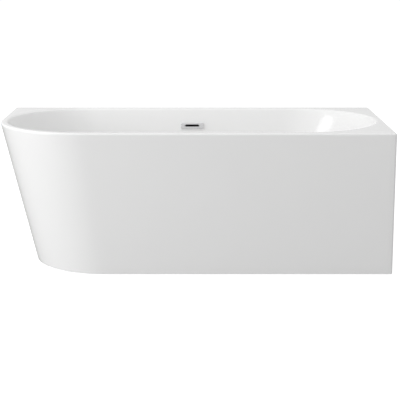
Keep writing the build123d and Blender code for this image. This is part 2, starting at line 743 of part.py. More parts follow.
def outlet_bend():
    """Outlet pipe: a quarter bend off the cup, then straight to the wall behind the bath."""
    turn = OUTLET_STUB + OUTLET_LEAD
    path = Line((OUTLET_STUB, DRAIN_Y, OUTLET_Z), (turn, DRAIN_Y, OUTLET_Z))
    corner = Plane((turn, DRAIN_Y + OUTLET_BEND, OUTLET_Z))
    path += corner * CenterArc((0, 0), OUTLET_BEND, -90, 90)
    end = turn + OUTLET_BEND
    path += Line((end, DRAIN_Y + OUTLET_BEND, OUTLET_Z), (end, OUTLET_MOUTH_Y, OUTLET_Z))
    section = Plane((OUTLET_STUB, DRAIN_Y, OUTLET_Z), z_dir=(1, 0, 0))
    section *= Circle(OUTLET_RADIUS) - Circle(OUTLET_RADIUS - OUTLET_WALL)
    return sweep(section, path=path)


def outlet_nut():
    place = Plane((OUTLET_STUB - OUTLET_NUT_LENGTH / 2, DRAIN_Y, OUTLET_Z), z_dir=(1, 0, 0))
    bore = OUTLET_RADIUS + THREAD_CLEAR
    lead = OUTLET_NUT_LENGTH / 2 + OUTLET_LEAD
    return place * extrude(Circle(bore + NUT_WALL) - Circle(bore), lead)


# overflow

def overflow_bezel():
    """Slotted cover, hollow behind, over the clamp plate."""
    outer = RectangleRounded(BEZEL_WIDTH, BEZEL_HEIGHT, BEZEL_ROUND)
    inner = RectangleRounded(
        BEZEL_WIDTH - 2 * BEZEL_WALL, BEZEL_HEIGHT - 2 * BEZEL_WALL, BEZEL_ROUND - BEZEL_WALL
    )
    shell = on_wall(outer, 0, BEZEL_DEPTH)
    plane = wall_plane()
    front = shell.faces().sort_by(lambda face: (face.center() - plane.origin).dot(plane.z_dir))[-1]
    shell = fillet(front.edges(), BEZEL_WALL)
    shell -= on_wall(inner, 0, BEZEL_DEPTH - BEZEL_WALL)
    slot = Pos(0, SLOT_RISE) * obround(SLOT_WIDTH, SLOT_HEIGHT)
    return shell - on_wall(slot, 0, BEZEL_DEPTH)


def overflow_clamp_plate():
    """Steel plate under the bezel that pulls the body against the wall."""
    inset = 2 * (BEZEL_WALL + GAP)
    plan = RectangleRounded(BEZEL_WIDTH - inset, BEZEL_HEIGHT - inset, BEZEL_ROUND - BEZEL_WALL)
    plate = on_wall(plan, 0, CLAMP_PLATE)
    plate -= on_wall(obround(NECK_WIDTH - 2 * NECK_WALL, NECK_HEIGHT - 2 * NECK_WALL), 0, CLAMP_PLATE)
    return plate - overflow_screws()


def overflow_screws():
    screws = []
    length = STACK + GASKET + OVERFLOW_FLANGE
    for side in (-1, 1):
        spot = Pos(side * CLAMP_SCREW_X, 0)
        head = on_wall(spot * Circle(CLAMP_SCREW_HEAD_RADIUS), CLAMP_PLATE, CLAMP_SCREW_HEAD)
        screws.append(head + on_wall(spot * Circle(CLAMP_SCREW_RADIUS), -length, length + CLAMP_PLATE))
    return Compound(children=screws)


def behind_coat():
    """Distance from the bowl's face to the coat's back, square to the sloping wall."""
    slope = SIDE_LEAN / (HEIGHT - FLOOR_HEIGHT)
    return STACK / math.hypot(1, slope)


def overflow_gasket():
    plan = RectangleRounded(OVERFLOW_FLANGE_WIDTH, OVERFLOW_FLANGE_HEIGHT, BEZEL_ROUND)
    ring_plan = plan - obround(NECK_WIDTH, NECK_HEIGHT)
    return on_wall(ring_plan, -behind_coat() - GASKET, GASKET) - overflow_screws()


def overflow_body():
    """Moulded box behind the wall: flange, neck into the hole and a spigot down to the pipe."""
    back = -behind_coat() - GASKET
    plan = RectangleRounded(OVERFLOW_FLANGE_WIDTH, OVERFLOW_FLANGE_HEIGHT, BEZEL_ROUND)
    body = on_wall(plan, back - OVERFLOW_FLANGE, OVERFLOW_FLANGE)
    body += on_wall(obround(NECK_WIDTH, NECK_HEIGHT), back, -back)
    y = (PIPE_Y - CHAMBER_DEPTH / 2, PIPE_Y + CHAMBER_DEPTH / 2)
    top = CHAMBER_BOTTOM + CHAMBER_HEIGHT
    in_front = on_wall(Rectangle(2 * BEZEL_WIDTH, 2 * WIDTH), back - OVERFLOW_FLANGE, WIDTH)
    chamber = block((-CHAMBER_WIDTH / 2, CHAMBER_WIDTH / 2), y, (CHAMBER_BOTTOM, top)) - in_front
    body += chamber
    wall = SPIGOT_WALL
    hollow_x = (wall - CHAMBER_WIDTH / 2, CHAMBER_WIDTH / 2 - wall)
    hollow_y = (y[0] - wall, y[1] - wall)
    hollow = block(hollow_x, hollow_y, (CHAMBER_BOTTOM + wall, top - wall))
    body -= hollow - in_front
    spigot = (CHAMBER_BOTTOM - SPIGOT_LENGTH, CHAMBER_BOTTOM)
    body += ring(0, PIPE_Y, spigot, SPIGOT_RADIUS, PIPE_RADIUS + THREAD_CLEAR)
    body -= rod(0, PIPE_Y, (CHAMBER_BOTTOM, CHAMBER_BOTTOM + wall), PIPE_RADIUS - wall)
    bore = obround(NECK_WIDTH - 2 * NECK_WALL, NECK_HEIGHT - 2 * NECK_WALL)
    body -= on_wall(bore, back - OVERFLOW_FLANGE, OVERFLOW_FLANGE - back)
    return body - overflow_screws()


def pipe_ends():
    """Heights and reach of the overflow pipe: its top end and its front end."""
    return CHAMBER_BOTTOM - SPIGOT_LENGTH + PIPE_INSERT, DRAIN_Y + PORT_REACH - PIPE_INSERT


def overflow_pipe():
    """Pipe down behind the bowl and forward to the waste's port."""
    top, front = pipe_ends()
    path = Line((0, PIPE_Y, top), (0, PIPE_Y, PORT_Z + PIPE_BEND))
    corner = Plane((0, PIPE_Y - PIPE_BEND, PORT_Z + PIPE_BEND), x_dir=(0, 1, 0), z_dir=(-1, 0, 0))
    path += corner * CenterArc((0, 0), PIPE_BEND, 0, 90)
    path += Line((0, PIPE_Y - PIPE_BEND, PORT_Z), (0, front, PORT_Z))
    section = Plane((0, PIPE_Y, top), z_dir=(0, 0, -1))
    section *= Circle(PIPE_RADIUS) - Circle(PIPE_RADIUS - PIPE_WALL)
    return sweep(section, path=path)


def overflow_pipe_nuts():
    """Compression nuts at the pipe's two ends."""
    deep = PIPE_NUT_LENGTH - PIPE_NUT_WALL
    nut = Cylinder(PIPE_NUT_RADIUS, PIPE_NUT_LENGTH, align=UPWARDS)
    nut -= Cylinder(SPIGOT_RADIUS + THREAD_CLEAR, deep, align=UPWARDS)
    nut -= Cylinder(PIPE_RADIUS + THREAD_CLEAR, PIPE_NUT_LENGTH, align=UPWARDS)
    upper = Plane((0, PIPE_Y, CHAMBER_BOTTOM - SPIGOT_LENGTH + deep), z_dir=(0, 0, -1))
    lower = Plane((0, DRAIN_Y + PORT_REACH - deep, PORT_Z), z_dir=(0, 1, 0))
    return Compound(children=[upper * nut, lower * nut])


# every piece, one file each

PIECES = [
    basin, fibreglass_coat, skirt, skirt_backing, base_board, rim_battens, corner_boards,
    skirt_batten, front_rail, back_left_rail, back_right_rail, left_cross_member,
    middle_cross_member, right_cross_member, tube_end_caps, board_screws, skirt_brackets,
    skirt_screws, foot_bushes, foot_lock_nuts, drain_flange, drain_top_seal, drain_lower_seal,
    click_cartridge, plug_cap, plug_seal, plug_stem, drain_body, trap_nut, trap_seal, trap_cup,
    outlet_bend, outlet_nut, overflow_bezel, overflow_clamp_plate, overflow_screws,
    overflow_gasket, overflow_body, overflow_pipe, overflow_pipe_nuts,
]

os.makedirs("parts", exist_ok=True)
for piece in PIECES:
    export_step(piece(), f"parts/{piece.__name__}.step")
for station, x in MEMBER_X.items():
    for side, y in FOOT_Y.items():
        export_step(foot_pad(x, y), f"parts/foot_pad_{side}_{station}.step")
        export_step(foot_stud(x, y), f"parts/foot_stud_{side}_{station}.step")
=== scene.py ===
"""Corner bath with an apron: moulded shell, levelling frame, waste, trap and overflow."""

import logging
import math
from dataclasses import dataclass, field
from enum import Enum
from typing import Callable, Iterable, Sequence

import bmesh
import bpy
from mathutils import Matrix, Vector, noise


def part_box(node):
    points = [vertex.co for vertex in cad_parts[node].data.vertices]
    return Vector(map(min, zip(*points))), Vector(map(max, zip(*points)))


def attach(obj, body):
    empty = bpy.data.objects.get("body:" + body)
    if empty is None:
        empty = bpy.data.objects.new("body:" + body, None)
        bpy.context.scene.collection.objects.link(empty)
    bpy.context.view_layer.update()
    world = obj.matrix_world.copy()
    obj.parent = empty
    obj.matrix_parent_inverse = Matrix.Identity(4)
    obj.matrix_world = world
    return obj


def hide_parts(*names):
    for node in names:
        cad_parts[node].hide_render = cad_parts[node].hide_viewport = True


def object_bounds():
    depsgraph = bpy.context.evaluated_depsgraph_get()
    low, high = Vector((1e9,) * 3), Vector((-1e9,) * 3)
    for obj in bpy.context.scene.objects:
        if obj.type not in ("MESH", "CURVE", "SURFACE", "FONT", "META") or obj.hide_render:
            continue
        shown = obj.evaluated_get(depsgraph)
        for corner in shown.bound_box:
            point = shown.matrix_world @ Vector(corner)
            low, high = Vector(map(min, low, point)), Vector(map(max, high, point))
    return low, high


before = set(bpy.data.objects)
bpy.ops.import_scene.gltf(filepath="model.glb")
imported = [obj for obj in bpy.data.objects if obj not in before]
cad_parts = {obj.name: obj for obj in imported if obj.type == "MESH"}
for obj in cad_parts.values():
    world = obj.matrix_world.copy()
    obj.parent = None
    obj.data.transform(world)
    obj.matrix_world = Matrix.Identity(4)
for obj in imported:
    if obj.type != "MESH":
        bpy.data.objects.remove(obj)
CAD_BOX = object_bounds()

MM = 0.001
UP = Vector((0, 0, 1))
ORIGIN = Vector((0, 0, 0))
ACROSS = Vector((1, 0, 0))
BACKWARDS = Vector((0, 1, 0))
SHARP = math.radians(32)
MERGE = 1e-7
OVERFLOW_DROP = 83 * MM
# The leaning end's straight line passes the rounded deck edge by this much at the deck's level.
EDGE_OVERHANG = 2.383 * MM
LOG = logging.getLogger("bath")

Profile = Sequence[tuple[float, float]]
Socket = bpy.types.NodeSocket
Tree = bpy.types.NodeTree


# node trees


def set_inputs(tree: Tree, node: bpy.types.Node, **inputs: object) -> None:
    """Sets a node's inputs.

    Args:
        tree: The tree it is in.
        node: The node.
        inputs: A value, a socket or a list of sockets by input name, with underscores for spaces.
    """
    for key, value in inputs.items():
        socket = node.inputs[key.replace("_", " ")]
        if isinstance(value, Socket):
            tree.links.new(value, socket)
        elif isinstance(value, list):
            for each in value:
                tree.links.new(each, socket)
        else:
            socket.default_value = value


def add_node(
    tree: Tree, kind: str, settings: dict[str, object] | None = None, **inputs: object
) -> bpy.types.Node:
    """Adds a node.

    Args:
        tree: The tree it goes into.
        kind: The node's type.
        settings: Properties to set on it.
        inputs: Its inputs, as set_inputs takes them.

    Returns:
        The node.
    """
    made = tree.nodes.new(kind)
    for key, value in (settings or {}).items():
        setattr(made, key, value)
    set_inputs(tree, made, **inputs)
    return made


def add_maths(tree: Tree, operation: str, first: object, second: object = 0.0) -> Socket:
    """One step of arithmetic.

    Args:
        tree: The tree it goes into.
        operation: What to do.
        first: Socket or number.
        second: Socket or number.

    Returns:
        The result.
    """
    made = add_node(tree, "ShaderNodeMath", {"operation": operation})
    for socket, value in zip(made.inputs, (first, second)):
        if isinstance(value, Socket):
            tree.links.new(value, socket)
        else:
            socket.default_value = value
    return made.outputs[0]


# finishes

COAT_ROUGHNESS = 0.05
CLOUD_SIZE = 40
CELL_TURN = (0.3, 0.2, 0.5)
SPANGLE_STRETCH = (1, 1, 1)
CHIP_STRETCH = (0.35, 1.0, 1.6)
STRAND_STRETCH = (0.12, 1.0, 1.0)
STRAND_TURNS = ((0.1, 0.2, 0.0), (0.2, 0.1, 1.05), (0.0, 0.3, 2.1))


class Grain(Enum):
    """How a finish's surface is broken up."""

    POLISHED = "polished"
    MOULDED = "moulded"
    SPANGLED = "spangled"
    PEBBLED = "pebbled"
    CHIPPED = "chipped"
    LAID = "laid fibres"


@dataclass(frozen=True)
class Finish:
    """A procedural finish: its colour and gloss, and the texture that breaks them up."""

    name: str
    slot: str
    light: tuple[float, float, float]
    dark: tuple[float, float, float]
    roughness: tuple[float, float]
    grain: Grain
    size: float
    relief: float
    metallic: float = 0.0
    coat: float = 0.0

    def material(self) -> bpy.types.Material:
        """The finish as a material, made once."""
        made = bpy.data.materials.get(self.name)
        return made if made else self._build()

    def _build(self) -> bpy.types.Material:
        """Makes the node tree.

        Returns:
            The new material.
        """
        made = bpy.data.materials.new(self.name)
        made.use_nodes = True
        tree = made.node_tree
        place = tree.nodes.new("ShaderNodeTexCoord").outputs["Object"]
        pattern, height = self._pattern(tree, place)
        tint = add_node(
            tree, "ShaderNodeMix", {"data_type": "RGBA"},
            Factor=pattern, A=(*self.dark, 1), B=(*self.light, 1),
        )
        least, most = self.roughness
        gloss = add_node(tree, "ShaderNodeMapRange", Value=pattern, To_Min=least, To_Max=most)
        bump = add_node(
            tree, "ShaderNodeBump", Strength=1.0, Distance=self.relief, Height=height
        )
        set_inputs(
            tree, tree.nodes["Principled BSDF"], Metallic=self.metallic, Coat_Weight=self.coat,
            Coat_Roughness=COAT_ROUGHNESS, Base_Color=tint.outputs["Result"],
            Roughness=gloss.outputs["Result"], Normal=bump.outputs["Normal"],
        )
        return made

    def _noise(self, tree: Tree, place: Socket, size: float, detail: float) -> Socket:
        """A noise texture of one feature size.

        Args:
            tree: The material's tree.
            place: Where the texture is read.
            size: Feature size in metres.
            detail: Octaves.

        Returns:
            The noise's value.
        """
        made = add_node(
            tree, "ShaderNodeTexNoise", Scale=1 / size, Detail=detail, Vector=place
        )
        return made.outputs["Fac"]

    def _turned_place(
        self, tree: Tree, place: Socket, turn: Sequence[float], stretch: Sequence[float]
    ) -> Socket:
        """Coordinates turned and stretched for a texture.

        Args:
            tree: The material's tree.
            place: The plain coordinates.
            turn: Turn about each axis in radians.
            stretch: Scale along each axis.

        Returns:
            The new coordinates.
        """
        made = add_node(
            tree, "ShaderNodeMapping", Vector=place, Rotation=tuple(turn), Scale=tuple(stretch)
        )
        return made.outputs["Vector"]

    def _cells(
        self, tree: Tree, place: Socket, stretch: Sequence[float]
    ) -> tuple[Socket, Socket]:
        """Random flat cells, as in galvanising or chipboard.

        Args:
            tree: The material's tree.
            place: Where the texture is read.
            stretch: Scale along each axis.

        Returns:
            Each cell's random value, and the distance from its middle.
        """
        turned_place = self._turned_place(tree, place, CELL_TURN, stretch)
        made = add_node(
            tree, "ShaderNodeTexVoronoi", Scale=1 / self.size, Vector=turned_place
        )
        split = add_node(tree, "ShaderNodeSeparateColor", Color=made.outputs["Color"])
        return split.outputs["Red"], made.outputs["Distance"]

    def _fibres(self, tree: Tree, place: Socket) -> Socket:
        """Chopped strands lying several ways, the highest one on top.

        Args:
            tree: The material's tree.
            place: Where the textures are read.

        Returns:
            The height of the top strand.
        """
        layers = []
        for turn in STRAND_TURNS:
            turned_place = self._turned_place(tree, place, turn, STRAND_STRETCH)
            layers.append(self._noise(tree, turned_place, self.size, 1.0))
        top = layers[0]
        for layer in layers[1:]:
            top = add_maths(tree, "MAXIMUM", top, layer)
        return top

    def _pattern(self, tree: Tree, place: Socket) -> tuple[Socket, Socket]:
        """The texture behind the colour and the one behind the relief.

        Args:
            tree: The material's tree.
            place: Where the textures are read.

        Returns:
            Colour pattern and height.
        """
        if self.grain is Grain.SPANGLED:
            return self._cells(tree, place, SPANGLE_STRETCH)
        if self.grain is Grain.CHIPPED:
            return self._cells(tree, place, CHIP_STRETCH)
        if self.grain is Grain.LAID:
            strands = self._fibres(tree, place)
            return strands, strands
        cloud = self._noise(tree, place, CLOUD_SIZE * self.size, 2.0)
        detail = 1.0 if self.grain is Grain.POLISHED else 4.0
        return cloud, self._noise(tree, place, self.size, detail)


ACRYLIC = Finish(
    "white_gloss_acrylic", "white_acrylic", (0.89, 0.89, 0.887), (0.875, 0.875, 0.873),
    (0.14, 0.2), Grain.POLISHED, 0.006, 0.000006, coat=0.35,
)
FIBREGLASS = Finish(
    "laid_glass_fibre", "glass_fibre", (0.78, 0.76, 0.66), (0.5, 0.47, 0.36),
    (0.22, 0.5), Grain.LAID, 0.0035, 0.0006, coat=0.3,
)
CHIPBOARD = Finish(
    "pressed_chipboard", "board", (0.62, 0.45, 0.27), (0.36, 0.23, 0.12),
    (0.6, 0.85), Grain.CHIPPED, 0.0045, 0.0002,
)
ZINC = Finish(
    "bright_zinc_plate", "zinc_steel", (0.72, 0.72, 0.7), (0.55, 0.56, 0.56),
    (0.22, 0.42), Grain.SPANGLED, 0.004, 0.00002, metallic=1.0,
)
POWDER = Finish(
    "grey_powder_coat", "powder_steel", (0.34, 0.35, 0.36), (0.29, 0.3, 0.31),
    (0.42, 0.55), Grain.PEBBLED, 0.0009, 0.00005,
)
WELD = Finish(
    "painted_weld", "powder_steel", (0.32, 0.33, 0.34), (0.22, 0.22, 0.23),
    (0.4, 0.6), Grain.PEBBLED, 0.0006, 0.0001,
)
CHROME = Finish(
    "polished_chrome", "chrome", (0.8, 0.8, 0.81), (0.75, 0.75, 0.76),
    (0.06, 0.12), Grain.POLISHED, 0.004, 0.000004, metallic=1.0,
)
BRASS = Finish(
    "turned_brass", "brass", (0.8, 0.6, 0.3), (0.66, 0.46, 0.2),
    (0.18, 0.32), Grain.POLISHED, 0.002, 0.00001, metallic=1.0,
)
RUBBER = Finish(
    "black_seal_rubber", "rubber", (0.035, 0.035, 0.036), (0.02, 0.02, 0.021),
    (0.6, 0.8), Grain.PEBBLED, 0.0006, 0.00003,
)
WHITE_PLASTIC = Finish(
    "white_moulding", "white_plastic", (0.78, 0.78, 0.77), (0.72, 0.72, 0.71),
    (0.32, 0.45), Grain.MOULDED, 0.0008, 0.00002,
)
GREY_PLASTIC = Finish(
    "grey_moulding", "grey_plastic", (0.3, 0.31, 0.32), (0.25, 0.26, 0.27),
    (0.35, 0.5), Grain.MOULDED, 0.0008, 0.00003,
)
BLACK_PLASTIC = Finish(
    "black_moulding", "black_plastic", (0.04, 0.04, 0.042), (0.025, 0.025, 0.027),
    (0.38, 0.55), Grain.MOULDED, 0.0008, 0.00003,
)


# making pieces


def placed(name: str, data: bpy.types.ID) -> bpy.types.Object:
    """Puts a mesh, a curve, a light or a camera into the scene.

    Args:
        name: The object's name.
        data: What it holds.

    Returns:
        The object.
    """
    made = bpy.data.objects.new(name, data)
    bpy.context.scene.collection.objects.link(made)
    return made


def fit(
    name: str, mesh: bpy.types.Mesh, finish: Finish, body: str, nodes: Iterable[str] = ()
) -> bpy.types.Object:
    """Puts a finished mesh into the scene as a piece on its body.

    Args:
        name: The piece's name.
        mesh: Its mesh, already in place.
        finish: What it is finished in.
        body: The body it moves with.
        nodes: The CAD nodes it stands for.

    Returns:
        The piece's object.
    """
    mesh.materials.clear()
    mesh.materials.append(finish.material())
    mesh.shade_smooth()
    mesh.set_sharp_from_angle(angle=SHARP)
    piece = placed(name, mesh)
    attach(piece, body)
    for node in nodes:
        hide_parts(node)
    LOG.info("%s: %d faces, on %s", name, len(mesh.polygons), body)
    return piece


def dress(node: str, finish: Finish) -> None:
    """Gives a CAD node its finish."""
    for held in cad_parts[node].material_slots:
        held.material = finish.material()


def middle(node: str) -> Vector:
    """The middle of a CAD node's box."""
    low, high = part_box(node)
    return (low + high) / 2


def mesh_of(bm: bmesh.types.BMesh, name: str) -> bpy.types.Mesh:
    """Closes a bmesh into a mesh with its faces outwards.

    Args:
        bm: The bmesh, which is freed.
        name: The mesh's name.

    Returns:
        The mesh.
    """
    bmesh.ops.recalc_face_normals(bm, faces=bm.faces)
    mesh = bpy.data.meshes.new(name)
    bm.to_mesh(mesh)
    bm.free()
    return mesh


def ring_mesh(
    name: str, rings: Sequence[Sequence[Vector]], closed: bool = True
) -> bpy.types.Mesh:
    """Skins rings of equal length.

    Args:
        name: The mesh's name.
        rings: Closed rings of points, in order.
        closed: Whether the last ring joins the first; if not, each end ring is two lines that
            face each other, and is filled between them.

    Returns:
        The mesh.
    """
    bm = bmesh.new()
    made = [[bm.verts.new(point) for point in ring] for ring in rings]
    count = len(made[0])
    following = made[1:] + made[:1] if closed else made[1:]
    for first, second in zip(made, following):
        for i in range(count):
            j = (i + 1) % count
            bm.faces.new((first[i], first[j], second[j], second[i]))
    for ring in () if closed else (made[0], made[-1]):
        for i in range(count // 2 - 1):
            bm.faces.new((ring[i], ring[i + 1], ring[count - 2 - i], ring[count - 1 - i]))
    bmesh.ops.remove_doubles(bm, verts=bm.verts, dist=MERGE)
    bmesh.ops.dissolve_degenerate(bm, edges=bm.edges, dist=MERGE)
    return mesh_of(bm, name)


def upright(centre: Vector, axis: Vector) -> Matrix:
    """The matrix that stands an upright shape at a centre along an axis."""
    return Matrix.Translation(centre) @ axis.to_track_quat("Z", "Y").to_matrix().to_4x4()


def turned(
    name: str, profile: Profile, centre: Vector = ORIGIN, steps: int = 64
) -> bpy.types.Mesh:
    """A turned shape about an upright axis.

    Args:
        name: The mesh's name.
        profile: Closed loop of (radius, height) in metres.
        centre: Where the axis has height 0.
        steps: Facets round the axis.

    Returns:
        The mesh.
    """
    rings = []
    for radius, height in profile:
        angles = [2 * math.pi * i / steps for i in range(steps)]
        rings.append([
            centre + Vector((radius * math.cos(angle), radius * math.sin(angle), height))
            for angle in angles
        ])
    return ring_mesh(name, rings)


def eased(profile: Profile, radius: float) -> list[tuple[float, float]]:
    """Rounds the corners of a turned profile.

    Args:
        profile: Closed loop of (radius, height).
        radius: How far from each corner the rounding starts; corners on the axis stay.

    Returns:
        The rounded loop.
    """
    most_of_a_side = 0.45
    tiny = 1e-6
    done = []
    for i, corner in enumerate(profile):
        here = Vector(corner)
        before, after = Vector(profile[i - 1]), Vector(profile[(i + 1) % len(profile)])
        shorter = min((before - here).length, (after - here).length)
        reach = min(radius, shorter * most_of_a_side)
        if corner[0] < tiny or reach < tiny:
            done.append(corner)
            continue
        start = here + (before - here).normalized() * reach
        end = here + (after - here).normalized() * reach
        for share in (0.0, 0.33, 0.67, 1.0):
            point = start.lerp(here, share).lerp(here.lerp(end, share), share)
            done.append((point.x, point.y))
    return done


def softened(node: str, edge: float, segments: int = 2) -> bpy.types.Mesh:
    """A clean copy of a CAD node with its sharp edges rounded.

    Args:
        node: The CAD node.
        edge: Width of the rounding in metres.
        segments: Facets across it.

    Returns:
        The mesh.
    """
    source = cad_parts[node].data
    corners = [vertex.co[:] for vertex in source.vertices]
    faces = [list(face.vertices) for face in source.polygons]
    plain = bpy.data.meshes.new(node + "_plain")
    plain.from_pydata(corners, [], faces)
    bm = bmesh.new()
    bm.from_mesh(plain)
    bmesh.ops.remove_doubles(bm, verts=bm.verts, dist=20 * MERGE)
    bmesh.ops.dissolve_limit(
        bm, angle_limit=math.radians(1), verts=bm.verts, edges=bm.edges
    )
    bm.to_mesh(plain)
    bm.free()
    holder = placed(node + "_plain", plain)
    bevel = holder.modifiers.new("edges", "BEVEL")
    bevel.limit_method = "ANGLE"
    bevel.angle_limit = math.radians(40)
    bevel.width = edge
    bevel.segments = segments
    return plain_mesh(holder, node + "_soft")


def plain_mesh(holder: bpy.types.Object, name: str) -> bpy.types.Mesh:
    """Turns an object and its modifiers into a plain mesh, and removes the object.

    Args:
        holder: The object.
        name: The mesh's name.

    Returns:
        The mesh.
    """
    bpy.context.view_layer.update()
    graph = bpy.context.evaluated_depsgraph_get()
    mesh = bpy.data.meshes.new_from_object(holder.evaluated_get(graph), depsgraph=graph)
    mesh.name = name
    bpy.data.objects.remove(holder)
    return mesh


def path_object(name: str, points: Sequence[Vector]) -> bpy.types.Object:
    """A bare polyline curve that a recipe follows.

    Args:
        name: The object's name.
        points: The points it runs through.

    Returns:
        The object.
    """
    curve = bpy.data.curves.new(name, "CURVE")
    curve.dimensions = "3D"
    line = curve.splines.new("POLY")
    line.points.add(len(points) - 1)
    for point, place in zip(line.points, points):
        point.co = (*place, 1)
    return placed(name, curve)


def points_object(name: str, places: Sequence[tuple[Vector, Vector]]) -> bpy.types.Object:
    """Loose points, each with the direction that its copy faces.

    Args:
        name: The object's name.
        places: (point, direction) pairs.

    Returns:
        The object.
    """
    mesh = bpy.data.meshes.new(name)
    mesh.from_pydata([point[:] for point, _ in places], [], [])
    facing = mesh.attributes.new("facing", "FLOAT_VECTOR", "POINT")
    for held, (_, direction) in zip(facing.data, places):
        held.vector = direction
    return placed(name, mesh)


# geometry node recipes


class Recipe:
    """A geometry node tree with named sizes, ending in Realize Instances and Set Material."""

    def __init__(self, name: str, sizes: dict[str, float], counts: dict[str, int]) -> None:
        """Starts the tree.

        Args:
            name: The tree's name.
            sizes: Named lengths with their usual values.
            counts: Named whole numbers with their usual values.
        """
        self.tree = bpy.data.node_groups.new(name, "GeometryNodeTree")
        face = self.tree.interface
        face.new_socket("Geometry", in_out="INPUT", socket_type="NodeSocketGeometry")
        for kind, named in (("NodeSocketFloat", sizes), ("NodeSocketInt", counts)):
            for label, value in named.items():
                face.new_socket(label, in_out="INPUT", socket_type=kind).default_value = value
        face.new_socket("Finish", in_out="INPUT", socket_type="NodeSocketMaterial")
        face.new_socket("Geometry", in_out="OUTPUT", socket_type="NodeSocketGeometry")
        self.given = self.tree.nodes.new("NodeGroupInput").outputs

    def add(
        self, kind: str, settings: dict[str, object] | None = None, **inputs: object
    ) -> Socket:
        """Adds a node.

        Args:
            kind: The node's type.
            settings: Properties to set on it.
            inputs: Its inputs, as set_inputs takes them.

        Returns:
            Its first output.
        """
        return add_node(self.tree, kind, settings, **inputs).outputs[0]

    def maths(self, operation: str, first: object, second: object = 0.0) -> Socket:
        """One step of arithmetic."""
        return add_maths(self.tree, operation, first, second)

    def join(self, *parts: Socket) -> Socket:
        """Several geometries as one."""
        return self.add("GeometryNodeJoinGeometry", Geometry=list(parts))

    def lifted(self, geometry: Socket, height: object) -> Socket:
        """A geometry moved up by a height."""
        lift = self.add("ShaderNodeCombineXYZ", Z=height)
        return self.add("GeometryNodeTransform", Geometry=geometry, Translation=lift)

    def close(self, geometry: Socket) -> "Recipe":
        """Ends the tree with real geometry in its finish.

        Args:
            geometry: What the tree has made.

        Returns:
            The recipe.
        """
        real = self.add("GeometryNodeRealizeInstances", Geometry=geometry)
        painted = self.add(
            "GeometryNodeSetMaterial", Geometry=real, Material=self.given["Finish"]
        )
        add_node(self.tree, "NodeGroupOutput", Geometry=painted)
        return self

    def cast(
        self, holder: bpy.types.Object, name: str, finish: Finish, **sizes: float
    ) -> bpy.types.Mesh:
        """Runs the tree on an object.

        Args:
            holder: The object it starts from, which is removed.
            name: The new mesh's name.
            finish: The material.
            sizes: Named inputs, with underscores for spaces.

        Returns:
            A plain mesh.
        """
        step = holder.modifiers.new(self.tree.name, "NODES")
        step.node_group = self.tree
        for item in self.tree.interface.items_tree:
            if item.item_type != "SOCKET" or item.in_out != "INPUT":
                continue
            if item.name == "Finish":
                step[item.identifier] = finish.material()
            elif item.name.replace(" ", "_") in sizes:
                step[item.identifier] = sizes[item.name.replace(" ", "_")]
        return plain_mesh(holder, name)


def thread_recipe() -> Recipe:
    """A ridge that winds round an upright axis, added to the core it is given.

    Returns:
        The recipe.
    """
    sizes = {"Radius": 4.2 * MM, "Pitch": 1.5 * MM, "Height": 0.1, "Ridge": 0.8 * MM, "Bottom": 0.0}
    made = Recipe("thread", sizes, {"Steps": 24})
    given = made.given
    turns = made.maths("DIVIDE", given["Height"], given["Pitch"])
    spiral = made.add(
        "GeometryNodeCurveSpiral", Resolution=given["Steps"], Rotations=turns,
        Start_Radius=given["Radius"], End_Radius=given["Radius"], Height=given["Height"],
    )
    level = made.add("GeometryNodeSetCurveNormal", {"mode": "Z_UP"}, Curve=spiral)
    ridge = made.add("GeometryNodeCurvePrimitiveCircle", Resolution=3, Radius=given["Ridge"])
    swept = made.add(
        "GeometryNodeCurveToMesh", Curve=level, Profile_Curve=ridge, Fill_Caps=True
    )
    return made.close(made.join(given["Geometry"], made.lifted(swept, given["Bottom"])))


def corrugation_recipe() -> Recipe:
    """A round tube along a path whose wall swells and narrows at a steady pitch.

    Returns:
        The recipe.
    """
    sizes = {"Radius": 15.2 * MM, "Swell": 0.8 * MM, "Pitch": 4.5 * MM}
    made = Recipe("corrugated tube", sizes, {"Steps": 28})
    given = made.given
    points_per_wave = 7.0
    fine = made.add(
        "GeometryNodeResampleCurve", {"mode": "LENGTH"}, Curve=given["Geometry"],
        Length=made.maths("DIVIDE", given["Pitch"], points_per_wave),
    )
    along = add_node(made.tree, "GeometryNodeSplineParameter").outputs["Length"]
    turn = made.maths("MULTIPLY", made.maths("DIVIDE", along, given["Pitch"]), 2 * math.pi)
    wave = made.maths("MULTIPLY", made.maths("SINE", turn), given["Swell"])
    section = made.add("GeometryNodeCurvePrimitiveCircle", Resolution=given["Steps"], Radius=1.0)
    tube = made.add(
        "GeometryNodeCurveToMesh", Curve=fine, Profile_Curve=section, Fill_Caps=True,
        Scale=made.maths("ADD", given["Radius"], wave),
    )
    return made.close(tube)


def grip_recipe() -> Recipe:
    """Upright grip ribs in a ring round an axis, added to the nut they are given.

    Returns:
        The recipe.
    """
    sizes = {"Radius": 40 * MM, "Rib": 1.5 * MM, "Length": 10 * MM}
    made = Recipe("grip ribs", sizes, {"Count": 24})
    given = made.given
    ring = made.add("GeometryNodeMeshCircle", Vertices=given["Count"], Radius=given["Radius"])
    bar = made.add(
        "GeometryNodeMeshCylinder", Vertices=8, Radius=given["Rib"], Depth=given["Length"]
    )
    copies = made.add("GeometryNodeInstanceOnPoints", Points=ring, Instance=bar)
    return made.close(made.join(given["Geometry"], copies))


